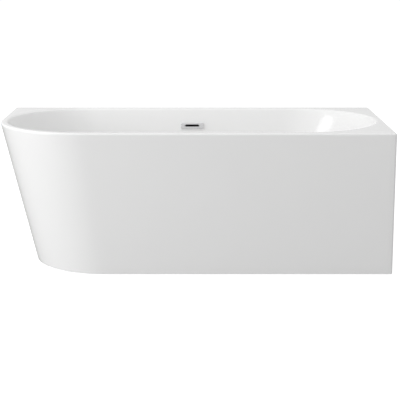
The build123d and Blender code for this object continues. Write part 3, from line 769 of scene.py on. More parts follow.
def weld_recipe() -> Recipe:
    """Overlapping rounds of weld metal along short lines.

    Returns:
        The recipe.
    """
    made = Recipe("weld bead", {"Radius": 2.4 * MM, "Pitch": 1.9 * MM, "Flatten": 0.6}, {})
    given = made.given
    line = made.add("GeometryNodeMeshToCurve", Mesh=given["Geometry"])
    spots = made.add(
        "GeometryNodeResampleCurve", {"mode": "LENGTH"}, Curve=line, Length=given["Pitch"]
    )
    bead = made.add("GeometryNodeMeshUVSphere", Segments=10, Rings=6, Radius=given["Radius"])
    along = made.add("GeometryNodeInputTangent")
    copies = made.add(
        "GeometryNodeInstanceOnPoints", Points=spots, Instance=bead,
        Rotation=made.add("FunctionNodeAlignRotationToVector", {"axis": "Z"}, Vector=along),
        Scale=made.add("ShaderNodeCombineXYZ", X=1.0, Y=1.0, Z=given["Flatten"]),
    )
    return made.close(copies)


def screw_recipe() -> Recipe:
    """Domed screws with a cross recess, one on each point, facing its way.

    Returns:
        The recipe.
    """
    sizes = {
        "Head": 5.5 * MM, "Dome": 3.4 * MM, "Shank": 2.75 * MM, "Length": 30 * MM,
        "Cross": 6.2 * MM, "Blade": 1.3 * MM,
    }
    made = Recipe("cross recess screw", sizes, {})
    given = made.given
    ball = made.add("GeometryNodeMeshUVSphere", Segments=40, Rings=24, Radius=1.0)
    form = made.add("ShaderNodeCombineXYZ", X=given["Head"], Y=given["Head"], Z=given["Dome"])
    dome = made.add("GeometryNodeTransform", Geometry=ball, Scale=form)
    deep = made.maths("MULTIPLY", given["Dome"], 1.1)
    under = made.add("GeometryNodeMeshCube", Size=(30 * MM, 30 * MM, 20 * MM))
    cutters = []
    for long, short in (("Cross", "Blade"), ("Blade", "Cross")):
        size = made.add("ShaderNodeCombineXYZ", X=given[long], Y=given[short], Z=deep)
        cutters.append(made.lifted(made.add("GeometryNodeMeshCube", Size=size), given["Dome"]))
    head = made.add(
        "GeometryNodeMeshBoolean", {"operation": "DIFFERENCE", "solver": "EXACT"},
        Mesh_1=dome, Mesh_2=cutters + [made.lifted(under, -10 * MM)],
    )
    shank = made.add(
        "GeometryNodeMeshCylinder", Vertices=20, Radius=given["Shank"], Depth=given["Length"]
    )
    sunk = made.lifted(shank, made.maths("MULTIPLY", given["Length"], -0.5))
    facing = made.add(
        "GeometryNodeInputNamedAttribute", {"data_type": "FLOAT_VECTOR"}, Name="facing"
    )
    copies = made.add(
        "GeometryNodeInstanceOnPoints", Points=given["Geometry"], Instance=made.join(head, sunk),
        Rotation=made.add("FunctionNodeAlignRotationToVector", {"axis": "Z"}, Vector=facing),
    )
    return made.close(copies)


def ribbed_nut(
    name: str, finish: Finish, bore: float, outer: float, length: float, rib: float, count: int,
    steps: int,
) -> bpy.types.Mesh:
    """A moulded ring nut with grip ribs, upright about the origin.

    Args:
        name: The mesh's name.
        finish: What it is moulded in.
        bore: Radius of its hole.
        outer: Radius over the ribs.
        length: Its height.
        rib: Radius of a rib.
        count: Number of ribs.
        steps: Facets round it.

    Returns:
        The mesh.
    """
    wall = outer - rib
    half = length / 2
    profile = [(bore, -half), (wall, -half), (wall, half), (bore, half)]
    holder = placed(name + " core", turned(name, eased(profile, 1 * MM), steps=steps))
    return grip_recipe().cast(
        holder, name, finish, Radius=wall, Rib=rib, Length=length - 3 * MM, Count=count
    )


# shell


@dataclass(frozen=True)
class Spot:
    """A point of the plan: its place, its outward way, and how far it moves out per height."""

    x: float
    y: float
    out_x: float
    out_y: float
    lean: float

    def normal(self) -> Vector:
        """The wall's outward unit normal here."""
        return Vector((self.out_x, self.out_y, -self.lean)).normalized()


@dataclass
class BathForm:
    """The bath's outline and bowl as functions of height, in metres."""

    right: float
    front: float
    back: float
    top: float
    left_top: float
    low: float = 2 * MM
    lean: float = 159 * MM
    big_top: float = 400 * MM
    big_low: float = 328 * MM
    small: float = 9 * MM
    least: float = 1 * MM
    floor: float = 165 * MM
    rim_radius: float = 360 * MM
    rim_centre: float = 462 * MM
    floor_radius: float = 300 * MM
    floor_centre: float = 307 * MM
    deck_inset: float = 8 * MM
    straight_steps: int = 44
    round_steps: int = 84
    corner_steps: int = 6
    samples: int = 300

    def share(self, z: float) -> float:
        """How far up the apron a height is."""
        return (z - self.low) / (self.top - self.low)

    def left(self, z: float) -> float:
        """The leaning left end."""
        return self.left_top + self.lean * (1 - self.share(z))

    def big(self, z: float) -> float:
        """Radius of the wide corner."""
        return self.big_low + (self.big_top - self.big_low) * self.share(z)

    def outline(self, t: float, z: float, inset: float = 0.0) -> Spot:
        """A point of the outline.

        Args:
            t: Eight stretches, from the front's left end and anticlockwise from above.
            z: Height.
            inset: How far inside the outline.

        Returns:
            The spot.
        """
        left, right = self.left(z) + inset, self.right - inset
        front, back = self.front + inset, self.back - inset
        big, small = self.big(z) - inset, max(self.small - inset, self.least)
        rise = self.top - self.low
        left_rate, big_rate = -self.lean / rise, (self.big_top - self.big_low) / rise
        stretch, share = int(t) % 8, t - int(t)
        if stretch == 0:
            x = left + big + (right - small - left - big) * share
            return Spot(x, front, 0, -1, 0)
        if stretch == 2:
            return Spot(right, front + small + (back - front - 2 * small) * share, 1, 0, 0)
        if stretch == 4:
            return Spot(right - small + (left + 2 * small - right) * share, back, 0, 1, 0)
        if stretch == 6:
            y = back - small + (front + big - back + small) * share
            return Spot(left, y, -1, 0, -left_rate)
        angle = math.radians(-90 + 45 * (stretch - 1) + 90 * share)
        cos, sin = math.cos(angle), math.sin(angle)
        if stretch == 1:
            return Spot(right - small + small * cos, front + small + small * sin, cos, sin, 0)
        if stretch == 3:
            return Spot(right - small + small * cos, back - small + small * sin, cos, sin, 0)
        if stretch == 5:
            x = left + small + small * cos
            return Spot(x, back - small + small * sin, cos, sin, left_rate * cos)
        rate = cos * (left_rate + big_rate) + sin * big_rate + big_rate
        return Spot(left + big + big * cos, front + big + big * sin, cos, sin, rate)

    def bowl(self, s: float, z: float, grow: float = 0.0) -> Spot:
        """A point of the bowl's wall.

        Args:
            s: Four stretches: front, right round, back, left round.
            z: Height.
            grow: How far outside the bowl's face.

        Returns:
            The spot.
        """
        rise = self.top - self.floor
        share = (z - self.floor) / rise
        centre = self.floor_centre + (self.rim_centre - self.floor_centre) * share
        radius = self.floor_radius + (self.rim_radius - self.floor_radius) * share + grow
        centre_rate = (self.rim_centre - self.floor_centre) / rise
        radius_rate = (self.rim_radius - self.floor_radius) / rise
        stretch, part = int(s) % 4, s - int(s)
        if stretch in (0, 2):
            side = -1 if stretch == 0 else 1
            return Spot(-side * centre * (2 * part - 1), side * radius, 0, side, radius_rate)
        end = 1 if stretch == 1 else -1
        angle = math.radians((-90 if end > 0 else 90) + 180 * part)
        cos, sin = math.cos(angle), math.sin(angle)
        rate = end * centre_rate * cos + radius_rate
        return Spot(end * centre + radius * cos, radius * sin, cos, sin, rate)

    def columns(self) -> list[tuple[float, float]]:
        """Bowl and outline places that face each other across the deck.

        Returns:
            (s, t) pairs in order round the bowl.
        """
        samples = [i / self.samples for i in range(8 * self.samples)]
        spots = [self.outline(t, self.top, self.deck_inset) for t in samples]
        found = [self._facing(7.0), self._facing(0.0)]
        for stretch in range(4):
            steps = self.round_steps if stretch % 2 else self.straight_steps
            for i in range(steps):
                s = stretch + i / steps
                found.append((s, self._across(s, samples, spots)))
        for start in (1, 3, 5):
            for i in range(self.corner_steps + 1):
                found.append(self._facing(start + i / self.corner_steps))
        found.sort()
        kept = [found[0]]
        for pair in found[1:]:
            if pair[0] - kept[-1][0] > 1e-4:
                kept.append(pair)
        return kept

    def _across(self, s: float, samples: Sequence[float], spots: Sequence[Spot]) -> float:
        """The outline's place straight out from a place on the bowl's mouth.

        Args:
            s: The bowl's place.
            samples: Outline places.
            spots: Their points.

        Returns:
            The outline's place.
        """
        start = self.bowl(s, self.top)
        sides = []
        for spot in spots:
            away = (spot.x - start.x, spot.y - start.y)
            ahead = away[0] * start.out_x + away[1] * start.out_y > 0
            sides.append((start.out_x * away[1] - start.out_y * away[0], ahead))
        for i, (side, ahead) in enumerate(sides):
            following, still = sides[(i + 1) % len(sides)]
            if ahead and still and side <= 0 < following:
                return samples[i] + (samples[1] - samples[0]) * side / (side - following)
        return 0.0

    def _facing(self, t: float) -> tuple[float, float]:
        """The bowl's place that faces a given place of the outline.

        Args:
            t: The outline's place.

        Returns:
            The (s, t) pair.
        """
        spot = self.outline(t, self.top, self.deck_inset)
        if abs(spot.x) <= self.rim_centre:
            part = (spot.x / self.rim_centre + 1) / 2
            return (part if spot.y < 0 else 3 - part, t)
        angle = math.degrees(math.atan2(spot.y, abs(spot.x) - self.rim_centre))
        part = (angle + 90) / 180
        return (1 + part if spot.x > 0 else 4 - part, t)


def ball_turn(
    centre: Vector, radius: float, start: Vector, end: Vector, steps: int
) -> list[Vector]:
    """Points on a ball between two directions.

    Args:
        centre: The ball's middle.
        radius: Its radius.
        start: First direction.
        end: Last direction.
        steps: Steps between them.

    Returns:
        The points, both ends included.
    """
    return [centre + start.slerp(end, i / steps) * radius for i in range(steps + 1)]


@dataclass
class BathShell:
    """Deck, rim and bowl in one sheet, the apron, and the glass fibre behind both."""

    form: BathForm
    drain: Vector
    overflow: Vector
    floor_steps: int = 14
    wall_rows: int = 12
    round_steps: int = 7
    strip_rows: int = 14
    sheet: float = 5 * MM
    coat: float = 3 * MM
    edge: float = 8 * MM
    lip: float = 12 * MM
    floor_round: float = 90 * MM
    rim: float = 20 * MM
    hole: float = 27 * MM
    neck: tuple[float, float] = (70.2 * MM, 19.2 * MM)
    coat_slot: tuple[float, float] = (93.2 * MM, 19.2 * MM)
    clamp: float = 43 * MM
    clamp_bore: float = 5.2 * MM
    cut_depth: float = 20 * MM
    uneven: float = 0.9 * MM
    uneven_scale: float = 55
    back_return: float = 60 * MM
    right_return: float = 120 * MM

    def bowl_column(self, s: float, grow: float) -> list[Vector]:
        """One line of the bowl's face, from the flat floor up to the deck.

        Args:
            s: The bowl's place.
            grow: How far behind the face.

        Returns:
            The points.
        """
        normal = self.form.bowl(s, self.form.floor).normal()
        ball = self.floor_round + grow
        base = self.form.floor - grow
        low = base + ball * (1 + normal.z)
        touch = self.form.bowl(s, low, grow)
        centre = Vector((touch.x, touch.y, low)) - normal * ball
        points = ball_turn(centre, ball, -UP, normal, self.floor_steps)
        level = self.form.top - grow
        lip = self.lip - grow
        high = level - lip * (1 + normal.z)
        for i in range(1, self.wall_rows):
            z = low + (high - low) * i / self.wall_rows
            spot = self.form.bowl(s, z, grow)
            points.append(Vector((spot.x, spot.y, z)))
        touch = self.form.bowl(s, high, grow)
        centre = Vector((touch.x, touch.y, high)) + normal * lip
        return points + ball_turn(centre, lip, -normal, UP, self.round_steps)

    def deck_edge(self, t: float) -> list[Vector]:
        """The deck's rounded outer edge and the rim's face, down to its foot.

        Args:
            t: The outline's place.

        Returns:
            The points.
        """
        normal = self.form.outline(t, self.form.top).normal()
        high = self.form.top - self.edge * (1 - normal.z)
        touch = self.form.outline(t, high)
        centre = Vector((touch.x, touch.y, high)) - normal * self.edge
        points = ball_turn(centre, self.edge, UP, normal, self.round_steps)
        foot = self.form.top - self.rim
        for share in (0.5, 1.0):
            z = high + (foot - high) * share
            spot = self.form.outline(t, z)
            points.append(Vector((spot.x, spot.y, z)))
        return points

    def rim_back(self, t: float) -> list[Vector]:
        """The rim's inner face, from its foot up to the deck's underside.

        Args:
            t: The outline's place.

        Returns:
            The points.
        """
        points = []
        for drop in (self.rim, self.rim / 2, self.sheet):
            z = self.form.top - drop
            spot = self.form.outline(t, z, self.sheet)
            points.append(Vector((spot.x, spot.y, z)))
        return points

    def _drain_point(self, towards: Vector, z: float) -> Vector:
        """The drain hole's edge on the side of a point."""
        away = Vector((towards.x - self.drain.x, towards.y - self.drain.y, 0)).normalized()
        return Vector((self.drain.x, self.drain.y, z)) + away * self.hole

    def _floor(self, start: Vector, z: float) -> list[Vector]:
        """Points from the drain hole's edge out to the floor's round."""
        edge = self._drain_point(start, z)
        return [edge.lerp(start, share) for share in (0.0, 0.12, 0.35, 0.65)]

    def sheet_mesh(self) -> bpy.types.Mesh:
        """The formed sheet: deck, rim and bowl.

        Returns:
            The mesh.
        """
        columns = []
        for s, t in self.form.columns():
            face = self.bowl_column(s, 0)
            column = self._floor(face[0], self.form.floor) + face
            column += self.deck_edge(t) + self.rim_back(t)
            under = self.bowl_column(s, self.sheet)
            column += under[::-1] + self._floor(under[0], self.form.floor - self.sheet)[::-1]
            columns.append(column)
        return ring_mesh("sheet", list(zip(*columns)))

    def coat_mesh(self) -> bpy.types.Mesh:
        """The glass fibre on the sheet's back, uneven where it shows.

        Returns:
            The mesh.
        """
        columns = []
        both = self.sheet + self.coat
        wall = range(self.floor_steps, self.floor_steps + self.wall_rows - 1)
        for s, t in self.form.columns():
            face = self.bowl_column(s, self.sheet)
            column = self._floor(face[0], self.form.floor - self.sheet) + face
            for z in (self.form.top - self.sheet, self.form.top - both):
                spot = self.form.outline(t, z, self.sheet)
                column.append(Vector((spot.x, spot.y, z)))
            back = self.bowl_column(s, both)
            floor = self._floor(back[0], self.form.floor - both)
            normal = self.form.bowl(s, self.form.floor).normal()
            for i in wall:
                share = 0.5 + 0.5 * noise.noise(back[i] * self.uneven_scale)
                back[i] = back[i] - normal * self.uneven * share
            column += back[::-1] + floor[::-1]
            columns.append(column)
        return ring_mesh("coat", list(zip(*columns)))

    def _strip(self, inset: float, depth: float) -> bpy.types.Mesh:
        """A wall under the rim, from the return at the back wall round to the one at the right.

        Args:
            inset: Outer face inside the outline.
            depth: The wall's thickness.

        Returns:
            The mesh.
        """
        stretches = ((5, 8), (6, 12), (7, 64), (0, 48), (1, 8))
        turns = [start + i / steps for start, steps in stretches for i in range(steps)] + [2.0]
        rings = []
        foot, head = self.form.low, self.form.top - self.rim
        for row in range(self.strip_rows + 1):
            z = foot + (head - foot) * row / self.strip_rows
            faces = []
            for deep in (inset, inset + depth):
                line = [Vector((self.form.left(z) + self.back_return, self.form.back - deep, z))]
                for t in turns:
                    spot = self.form.outline(t, z, deep)
                    line.append(Vector((spot.x, spot.y, z)))
                end = self.form.front + self.right_return
                line.append(Vector((self.form.right - deep, end, z)))
                faces.append(line)
            rings.append(faces[0] + faces[1][::-1])
        return ring_mesh("strip", rings, closed=False)

    def _cut(
        self, mesh: bpy.types.Mesh, width: float, height: float, screws: bool
    ) -> bpy.types.Mesh:
        """Cuts the overflow's hole through a sheet.

        Args:
            mesh: The sheet.
            width: The hole's width.
            height: Its height.
            screws: Whether to bore the two clamp screws as well.

        Returns:
            The cut mesh.
        """
        slope = (self.form.rim_radius - self.form.floor_radius) / (self.form.top - self.form.floor)
        out = Vector((0, -1, slope)).normalized()
        up = Vector((0, slope, 1)).normalized()
        bm = bmesh.new()
        loops = [self._round_ended(width, height, 0.0)]
        if screws:
            bore = self.clamp_bore
            loops += [self._round_ended(bore, bore, side * self.clamp) for side in (-1, 1)]
        for loop in loops:
            ends = []
            for depth in (-self.cut_depth, self.cut_depth):
                centre = self.overflow + out * depth
                ends.append([bm.verts.new(centre + ACROSS * x + up * y) for x, y in loop])
                bm.faces.new(ends[-1])
            for i in range(len(loop)):
                j = (i + 1) % len(loop)
                bm.faces.new((ends[0][i], ends[0][j], ends[1][j], ends[1][i]))
        cutter = placed("cutter", mesh_of(bm, "cutter"))
        holder = placed("uncut", mesh)
        step = holder.modifiers.new("hole", "BOOLEAN")
        step.operation = "DIFFERENCE"
        step.solver = "EXACT"
        step.object = cutter
        done = plain_mesh(holder, mesh.name + "_cut")
        bpy.data.objects.remove(cutter)
        return done

    def _round_ended(self, width: float, height: float, x: float) -> list[tuple[float, float]]:
        """A slot's plan with round ends, about a point.

        Args:
            width: Its width.
            height: Its height, which is a bore's width too.
            x: How far across it lies.

        Returns:
            The points.
        """
        steps = 12
        loop = []
        for side, turn in ((1, -90), (-1, 90)):
            for i in range(steps + 1):
                angle = math.radians(turn + 180 * i / steps)
                across = side * (width - height) / 2 + height / 2 * math.cos(angle)
                loop.append((x + across, height / 2 * math.sin(angle)))
        if width <= height:
            loop = loop[:-1]
            del loop[steps + 1]
        return loop

    def build(self) -> None:
        """Makes and fits the shell's pieces."""
        sheet = self._cut(self.sheet_mesh(), *self.neck, True)
        fit("bath_sheet", sheet, ACRYLIC, "tub", ["basin"])
        coat = self._cut(self.coat_mesh(), *self.coat_slot, False)
        fit("bath_glass_fibre", coat, FIBREGLASS, "tub", ["fibreglass_coat"])
        fit("apron", self._strip(0, self.sheet), ACRYLIC, "tub", ["skirt"])
        lining = self._strip(self.sheet, self.coat)
        fit("apron_lining", lining, FIBREGLASS, "tub", ["skirt_backing"])


# boards and frame


@dataclass
class Backing:
    """Chipboard and battens that stiffen the shell."""

    edge: float = 0.8 * MM
    boards: tuple[str, ...] = ("base_board", "rim_battens", "corner_boards", "skirt_batten")

    def build(self) -> None:
        """Makes and fits the boards."""
        for board in self.boards:
            fit(board + "_cut", softened(board, self.edge), CHIPBOARD, "tub", [board])


@dataclass
class SupportFrame:
    """Welded square tubes, their plastic caps, brackets and screws."""

    tube: float = 25 * MM
    edge: float = 0.9 * MM
    bead: float = 2.4 * MM
    caps_edge: float = 0.8 * MM
    bracket_edge: float = 0.7 * MM
    board_screw_head: float = 5.5 * MM
    board_screw: float = 34 * MM
    bracket_screw: float = 8 * MM
    bracket_screw_side: float = 11 * MM
    bracket_screw_back: float = 3 * MM
    bracket_screw_up: float = 14.25 * MM
    bracket_foot: tuple[float, float] = (40 * MM, 3 * MM)
    rails: tuple[str, ...] = ("front_rail", "back_left_rail", "back_right_rail")
    members: tuple[str, ...] = ("left_cross_member", "middle_cross_member", "right_cross_member")

    def tubes(self) -> None:
        """Fits the tubes with rounded corners."""
        for name in self.rails + self.members:
            fit(name + "_tube", softened(name, self.edge, 3), POWDER, "tub", [name])
        caps = softened("tube_end_caps", self.caps_edge)
        fit("tube_caps", caps, BLACK_PLASTIC, "tub", ["tube_end_caps"])

    def welds(self) -> None:
        """Fits the beads where each cross member passes under a rail."""
        recipe = weld_recipe()
        points, lines = [], []
        for member in self.members:
            x = middle(member).x
            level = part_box(member)[1].z
            for rail in self.rails:
                low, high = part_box(rail)
                if not low.x < x < high.x:
                    continue
                y = (low.y + high.y) / 2
                half = self.tube / 2
                for side in (-1, 1):
                    ends = ((x - half, y + side * half), (x + half, y + side * half))
                    turned_ends = ((x + side * half, y - half), (x + side * half, y + half))
                    for start, end in (ends, turned_ends):
                        lines.append((len(points), len(points) + 1))
                        points += [(*start, level), (*end, level)]
        mesh = bpy.data.meshes.new("weld lines")
        mesh.from_pydata(points, lines, [])
        holder = placed("weld lines", mesh)
        beads = recipe.cast(holder, "weld_beads", WELD, Radius=self.bead)
        fit("weld_beads", beads, WELD, "tub")

    def fixings(self) -> None:
        """Fits the brackets and the screws of boards and brackets."""
        brackets = softened("skirt_brackets", self.bracket_edge)
        fit("apron_brackets", brackets, ZINC, "tub", ["skirt_brackets"])
        recipe = screw_recipe()
        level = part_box("front_rail")[0].z
        places = []
        low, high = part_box("board_screws")
        head = self.board_screw_head
        for x in (low.x + head, high.x - head):
            for y in (low.y + head, high.y - head):
                places.append((Vector((x, y, level)), -UP))
        holder = points_object("board screw places", places)
        mesh = recipe.cast(holder, "board_screws", ZINC, Length=self.board_screw)
        fit("board_fixing_screws", mesh, ZINC, "tub", ["board_screws"])
        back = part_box("skirt_brackets")[0].y
        foot_back, foot_up = self.bracket_foot
        places = []
        for member in self.members[1:]:
            x = middle(member).x
            y, z = back + self.bracket_screw_back, level + self.bracket_screw_up
            for side in (-1, 1):
                spot = Vector((x + side * self.bracket_screw_side, y, z))
                places.append((spot, BACKWARDS))
            places.append((Vector((x, back + foot_back, level + foot_up)), UP))
        holder = points_object("bracket screw places", places)
        mesh = recipe.cast(holder, "bracket_screws", ZINC, Length=self.bracket_screw)
        fit("bracket_fixing_screws", mesh, ZINC, "tub", ["skirt_screws"])

    def build(self) -> None:
        """Makes and fits the frame."""
        self.tubes()
        self.welds()
        self.fixings()


@dataclass
class LevellingFeet:
    """Six moulded pads, threaded studs, lock nuts and welded bushes."""

    stud: float = 5 * MM
    root: float = 4.25 * MM
    pitch: float = 1.5 * MM
    pad: float = 28 * MM
    neck: float = 13 * MM
    height: float = 22 * MM
    base: float = 6 * MM
    socket: float = 8 * MM
    room: float = 0.05 * MM
    edge: float = 0.8 * MM
    hollow: float = 10 * MM
    chamfer: float = 1 * MM
    flat: float = 8.5 * MM
    hexagon: tuple[float, float] = (0.3 * MM, 8.3 * MM)
    ridge: float = 0.79 * MM
    bush: float = 11 * MM
    corner_fall: float = 0.55

    def pad_mesh(self, centre: Vector) -> bpy.types.Mesh:
        """One pad with a tread ring and a rounded skirt.

        Args:
            centre: The pad's middle on the floor.

        Returns:
            The mesh.
        """
        bore = self.stud + self.room
        neck, tall = self.neck, self.height
        profile = [
            (0, self.chamfer), (self.hollow, self.chamfer), (self.hollow, 0), (self.pad, 0),
            (self.pad, self.base), (self.pad - 3 * MM, self.base + 1.2 * MM),
            (neck + 3 * MM, tall - 6 * MM), (neck, tall - 5 * MM), (neck, tall), (bore, tall),
            (bore, self.socket), (0, self.socket),
        ]
        return turned("pad", eased(profile, self.edge), centre, steps=72)

    def stud_mesh(self, node: str, recipe: Recipe) -> bpy.types.Mesh:
        """One stud: a turned core, a hexagon above the pad and a wound thread.

        Args:
            node: The CAD stud.
            recipe: The thread's tree.

        Returns:
            The mesh.
        """
        low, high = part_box(node)
        centre = (low + high) / 2
        cut = self.chamfer
        hex_low, hex_high = (self.height + above for above in self.hexagon)
        core = [
            (0, low.z), (self.stud - cut, low.z), (self.stud, low.z + cut), (self.stud, hex_low),
            (self.stud, hex_high), (self.root, hex_high + cut), (self.root, high.z - cut / 2),
            (self.root - 0.6 * cut, high.z), (0, high.z),
        ]
        bm = bmesh.new()
        bm.from_mesh(turned("core", core, steps=32))
        bm.from_mesh(self.nut_mesh(ORIGIN, hex_low, hex_high, self.stud - cut / 2))
        mesh = recipe.cast(
            placed("stud core", mesh_of(bm, "stud core")), "stud", ZINC, Pitch=self.pitch,
            Radius=self.root - self.room, Ridge=self.ridge, Bottom=hex_high + cut,
            Height=high.z - hex_high - 2.2 * cut,
        )
        mesh.transform(Matrix.Translation((centre.x, centre.y, 0)))
        return mesh

    def nut_mesh(self, centre: Vector, low: float, high: float, bore: float) -> bpy.types.Mesh:
        """A hexagon with chamfered corners.

        Args:
            centre: On the axis, at height 0.
            low: Its underside.
            high: Its top.
            bore: Radius of its hole.

        Returns:
            The mesh.
        """
        steps = 72
        corner = self.flat / math.cos(math.pi / 6)
        face = self.flat - 0.2 * MM
        drop = (corner - self.flat) * self.corner_fall
        levels = [
            (low, bore, 0), (low, face, 0), (low + drop, None, -1), (high - drop, None, 1),
            (high, face, 0), (high, bore, 0),
        ]
        rings = []
        for z, radius, way in levels:
            ring = []
            for i in range(steps):
                angle = 2 * math.pi * i / steps
                within = (angle + math.pi / 6) % (math.pi / 3) - math.pi / 6
                reach = self.flat / math.cos(within) if radius is None else radius
                height = z + way * (corner - reach) * self.corner_fall
                along = Vector((reach * math.cos(angle), reach * math.sin(angle), height))
                ring.append(centre + along)
            rings.append(ring)
        return ring_mesh("nut", rings)

    def build(self) -> None:
        """Makes and fits all six feet."""
        recipe = thread_recipe()
        nuts, bushes = bmesh.new(), bmesh.new()
        bore = self.stud + self.room
        nut_low, nut_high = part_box("foot_lock_nuts")
        low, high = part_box("foot_bushes")
        wall = eased(
            [(bore, low.z), (self.bush, low.z), (self.bush, high.z), (bore, high.z)], self.edge
        )
        for side in ("front", "back"):
            for station in ("left", "middle", "right"):
                name = f"{side}_{station}"
                centre = middle("foot_pad_" + name)
                on_floor = Vector((centre.x, centre.y, 0))
                pad = self.pad_mesh(on_floor)
                fit("foot_" + name, pad, BLACK_PLASTIC, "pad_" + name, ["foot_pad_" + name])
                stud = self.stud_mesh("foot_stud_" + name, recipe)
                fit("stud_thread_" + name, stud, ZINC, "stud_" + name, ["foot_stud_" + name])
                nuts.from_mesh(self.nut_mesh(on_floor, nut_low.z, nut_high.z, bore))
                bushes.from_mesh(turned("bush", wall, on_floor, steps=48))
        fit("lock_nuts", mesh_of(nuts, "lock_nuts"), ZINC, "tub", ["foot_lock_nuts"])
        fit("welded_bushes", mesh_of(bushes, "welded_bushes"), POWDER, "tub", ["foot_bushes"])


# waste and overflow


@dataclass
class Waste:
    """Click waste in the bowl's floor, the body and the bottle trap under it."""

    rib: float = 1.4 * MM
    trap_bore: float = 36.1 * MM
    trap_ribs: int = 36
    outlet_bore: float = 20.1 * MM
    outlet_ribs: int = 24
    nut_steps: int = 72

    def ring_nut(self, name: str, node: str, axis: Vector, bore: float, ribs: int) -> None:
        """Fits a moulded nut with grip ribs in place of a plain one.

        Args:
            name: The piece's name.
            node: The CAD nut.
            axis: Its direction.
            bore: Radius of its hole.
            ribs: Number of ribs.
        """
        low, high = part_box(node)
        size = high - low
        outer = (size.x if axis == UP else size.z) / 2
        mesh = ribbed_nut(
            name, GREY_PLASTIC, bore, outer, abs(size.dot(axis)), self.rib, ribs, self.nut_steps
        )
        mesh.transform(upright((low + high) / 2, axis))
        fit(name, mesh, GREY_PLASTIC, "tub", [node])

    def build(self) -> None:
        """Dresses the waste's turned parts and fits its ribbed nuts."""
        for seen_part in ("drain_flange", "plug_cap"):
            dress(seen_part, CHROME)
        for inner_part in ("plug_stem", "click_cartridge"):
            dress(inner_part, BRASS)
        for seal in ("drain_top_seal", "drain_lower_seal", "plug_seal", "trap_seal"):
            dress(seal, RUBBER)
        for moulding in ("drain_body", "trap_cup", "outlet_bend"):
            dress(moulding, WHITE_PLASTIC)
        self.ring_nut("trap_ring_nut", "trap_nut", UP, self.trap_bore, self.trap_ribs)
        self.ring_nut("outlet_ring_nut", "outlet_nut", ACROSS, self.outlet_bore, self.outlet_ribs)


@dataclass
class Overflow:
    """Slotted cover, moulded box behind the wall and the corrugated pipe to the waste."""

    pipe: float = 16 * MM
    swell: float = 0.9 * MM
    bend: float = 80 * MM
    bend_steps: int = 24
    nut: float = 24 * MM
    nut_room: float = 0.1 * MM
    rib: float = 1.2 * MM
    ribs: int = 20
    nut_steps: int = 64

    def pipe_path(self) -> list[Vector]:
        """The pipe's middle line, from its top end down and forward.

        Returns:
            The points.
        """
        low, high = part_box("overflow_pipe")
        back = high.y - self.pipe
        level = low.z + self.pipe
        points = [Vector((0, back, high.z)), Vector((0, back, level + self.bend))]
        for i in range(1, self.bend_steps + 1):
            angle = math.radians(90 * i / self.bend_steps)
            y = back - self.bend + self.bend * math.cos(angle)
            points.append(Vector((0, y, level + self.bend - self.bend * math.sin(angle))))
        return points + [Vector((0, low.y, level))]

    def nuts(self) -> None:
        """Fits the two ribbed nuts at the pipe's ends."""
        low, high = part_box("overflow_pipe_nuts")
        path = self.pipe_path()
        half = self.nut / 2
        bm = bmesh.new()
        ends = (
            (Vector((0, path[0].y, high.z - half)), UP),
            (Vector((0, low.y + half, path[-1].z)), BACKWARDS),
        )
        for centre, axis in ends:
            mesh = ribbed_nut(
                "nut", BLACK_PLASTIC, self.pipe + self.nut_room, (high.x - low.x) / 2, self.nut,
                self.rib, self.ribs, self.nut_steps,
            )
            mesh.transform(upright(centre, axis))
            bm.from_mesh(mesh)
        both = mesh_of(bm, "pipe_ring_nuts")
        fit("pipe_ring_nuts", both, BLACK_PLASTIC, "tub", ["overflow_pipe_nuts"])

    def build(self) -> None:
        """Dresses and fits the overflow."""
        dress("overflow_bezel", CHROME)
        dress("overflow_clamp_plate", ZINC)
        dress("overflow_screws", ZINC)
        dress("overflow_gasket", RUBBER)
        dress("overflow_body", BLACK_PLASTIC)
        holder = path_object("pipe path", self.pipe_path())
        pipe = corrugation_recipe().cast(
            holder, "corrugated_pipe", GREY_PLASTIC, Radius=self.pipe - self.swell, Swell=self.swell
        )
        fit("corrugated_pipe", pipe, GREY_PLASTIC, "tub", ["overflow_pipe"])
        self.nuts()


# studio


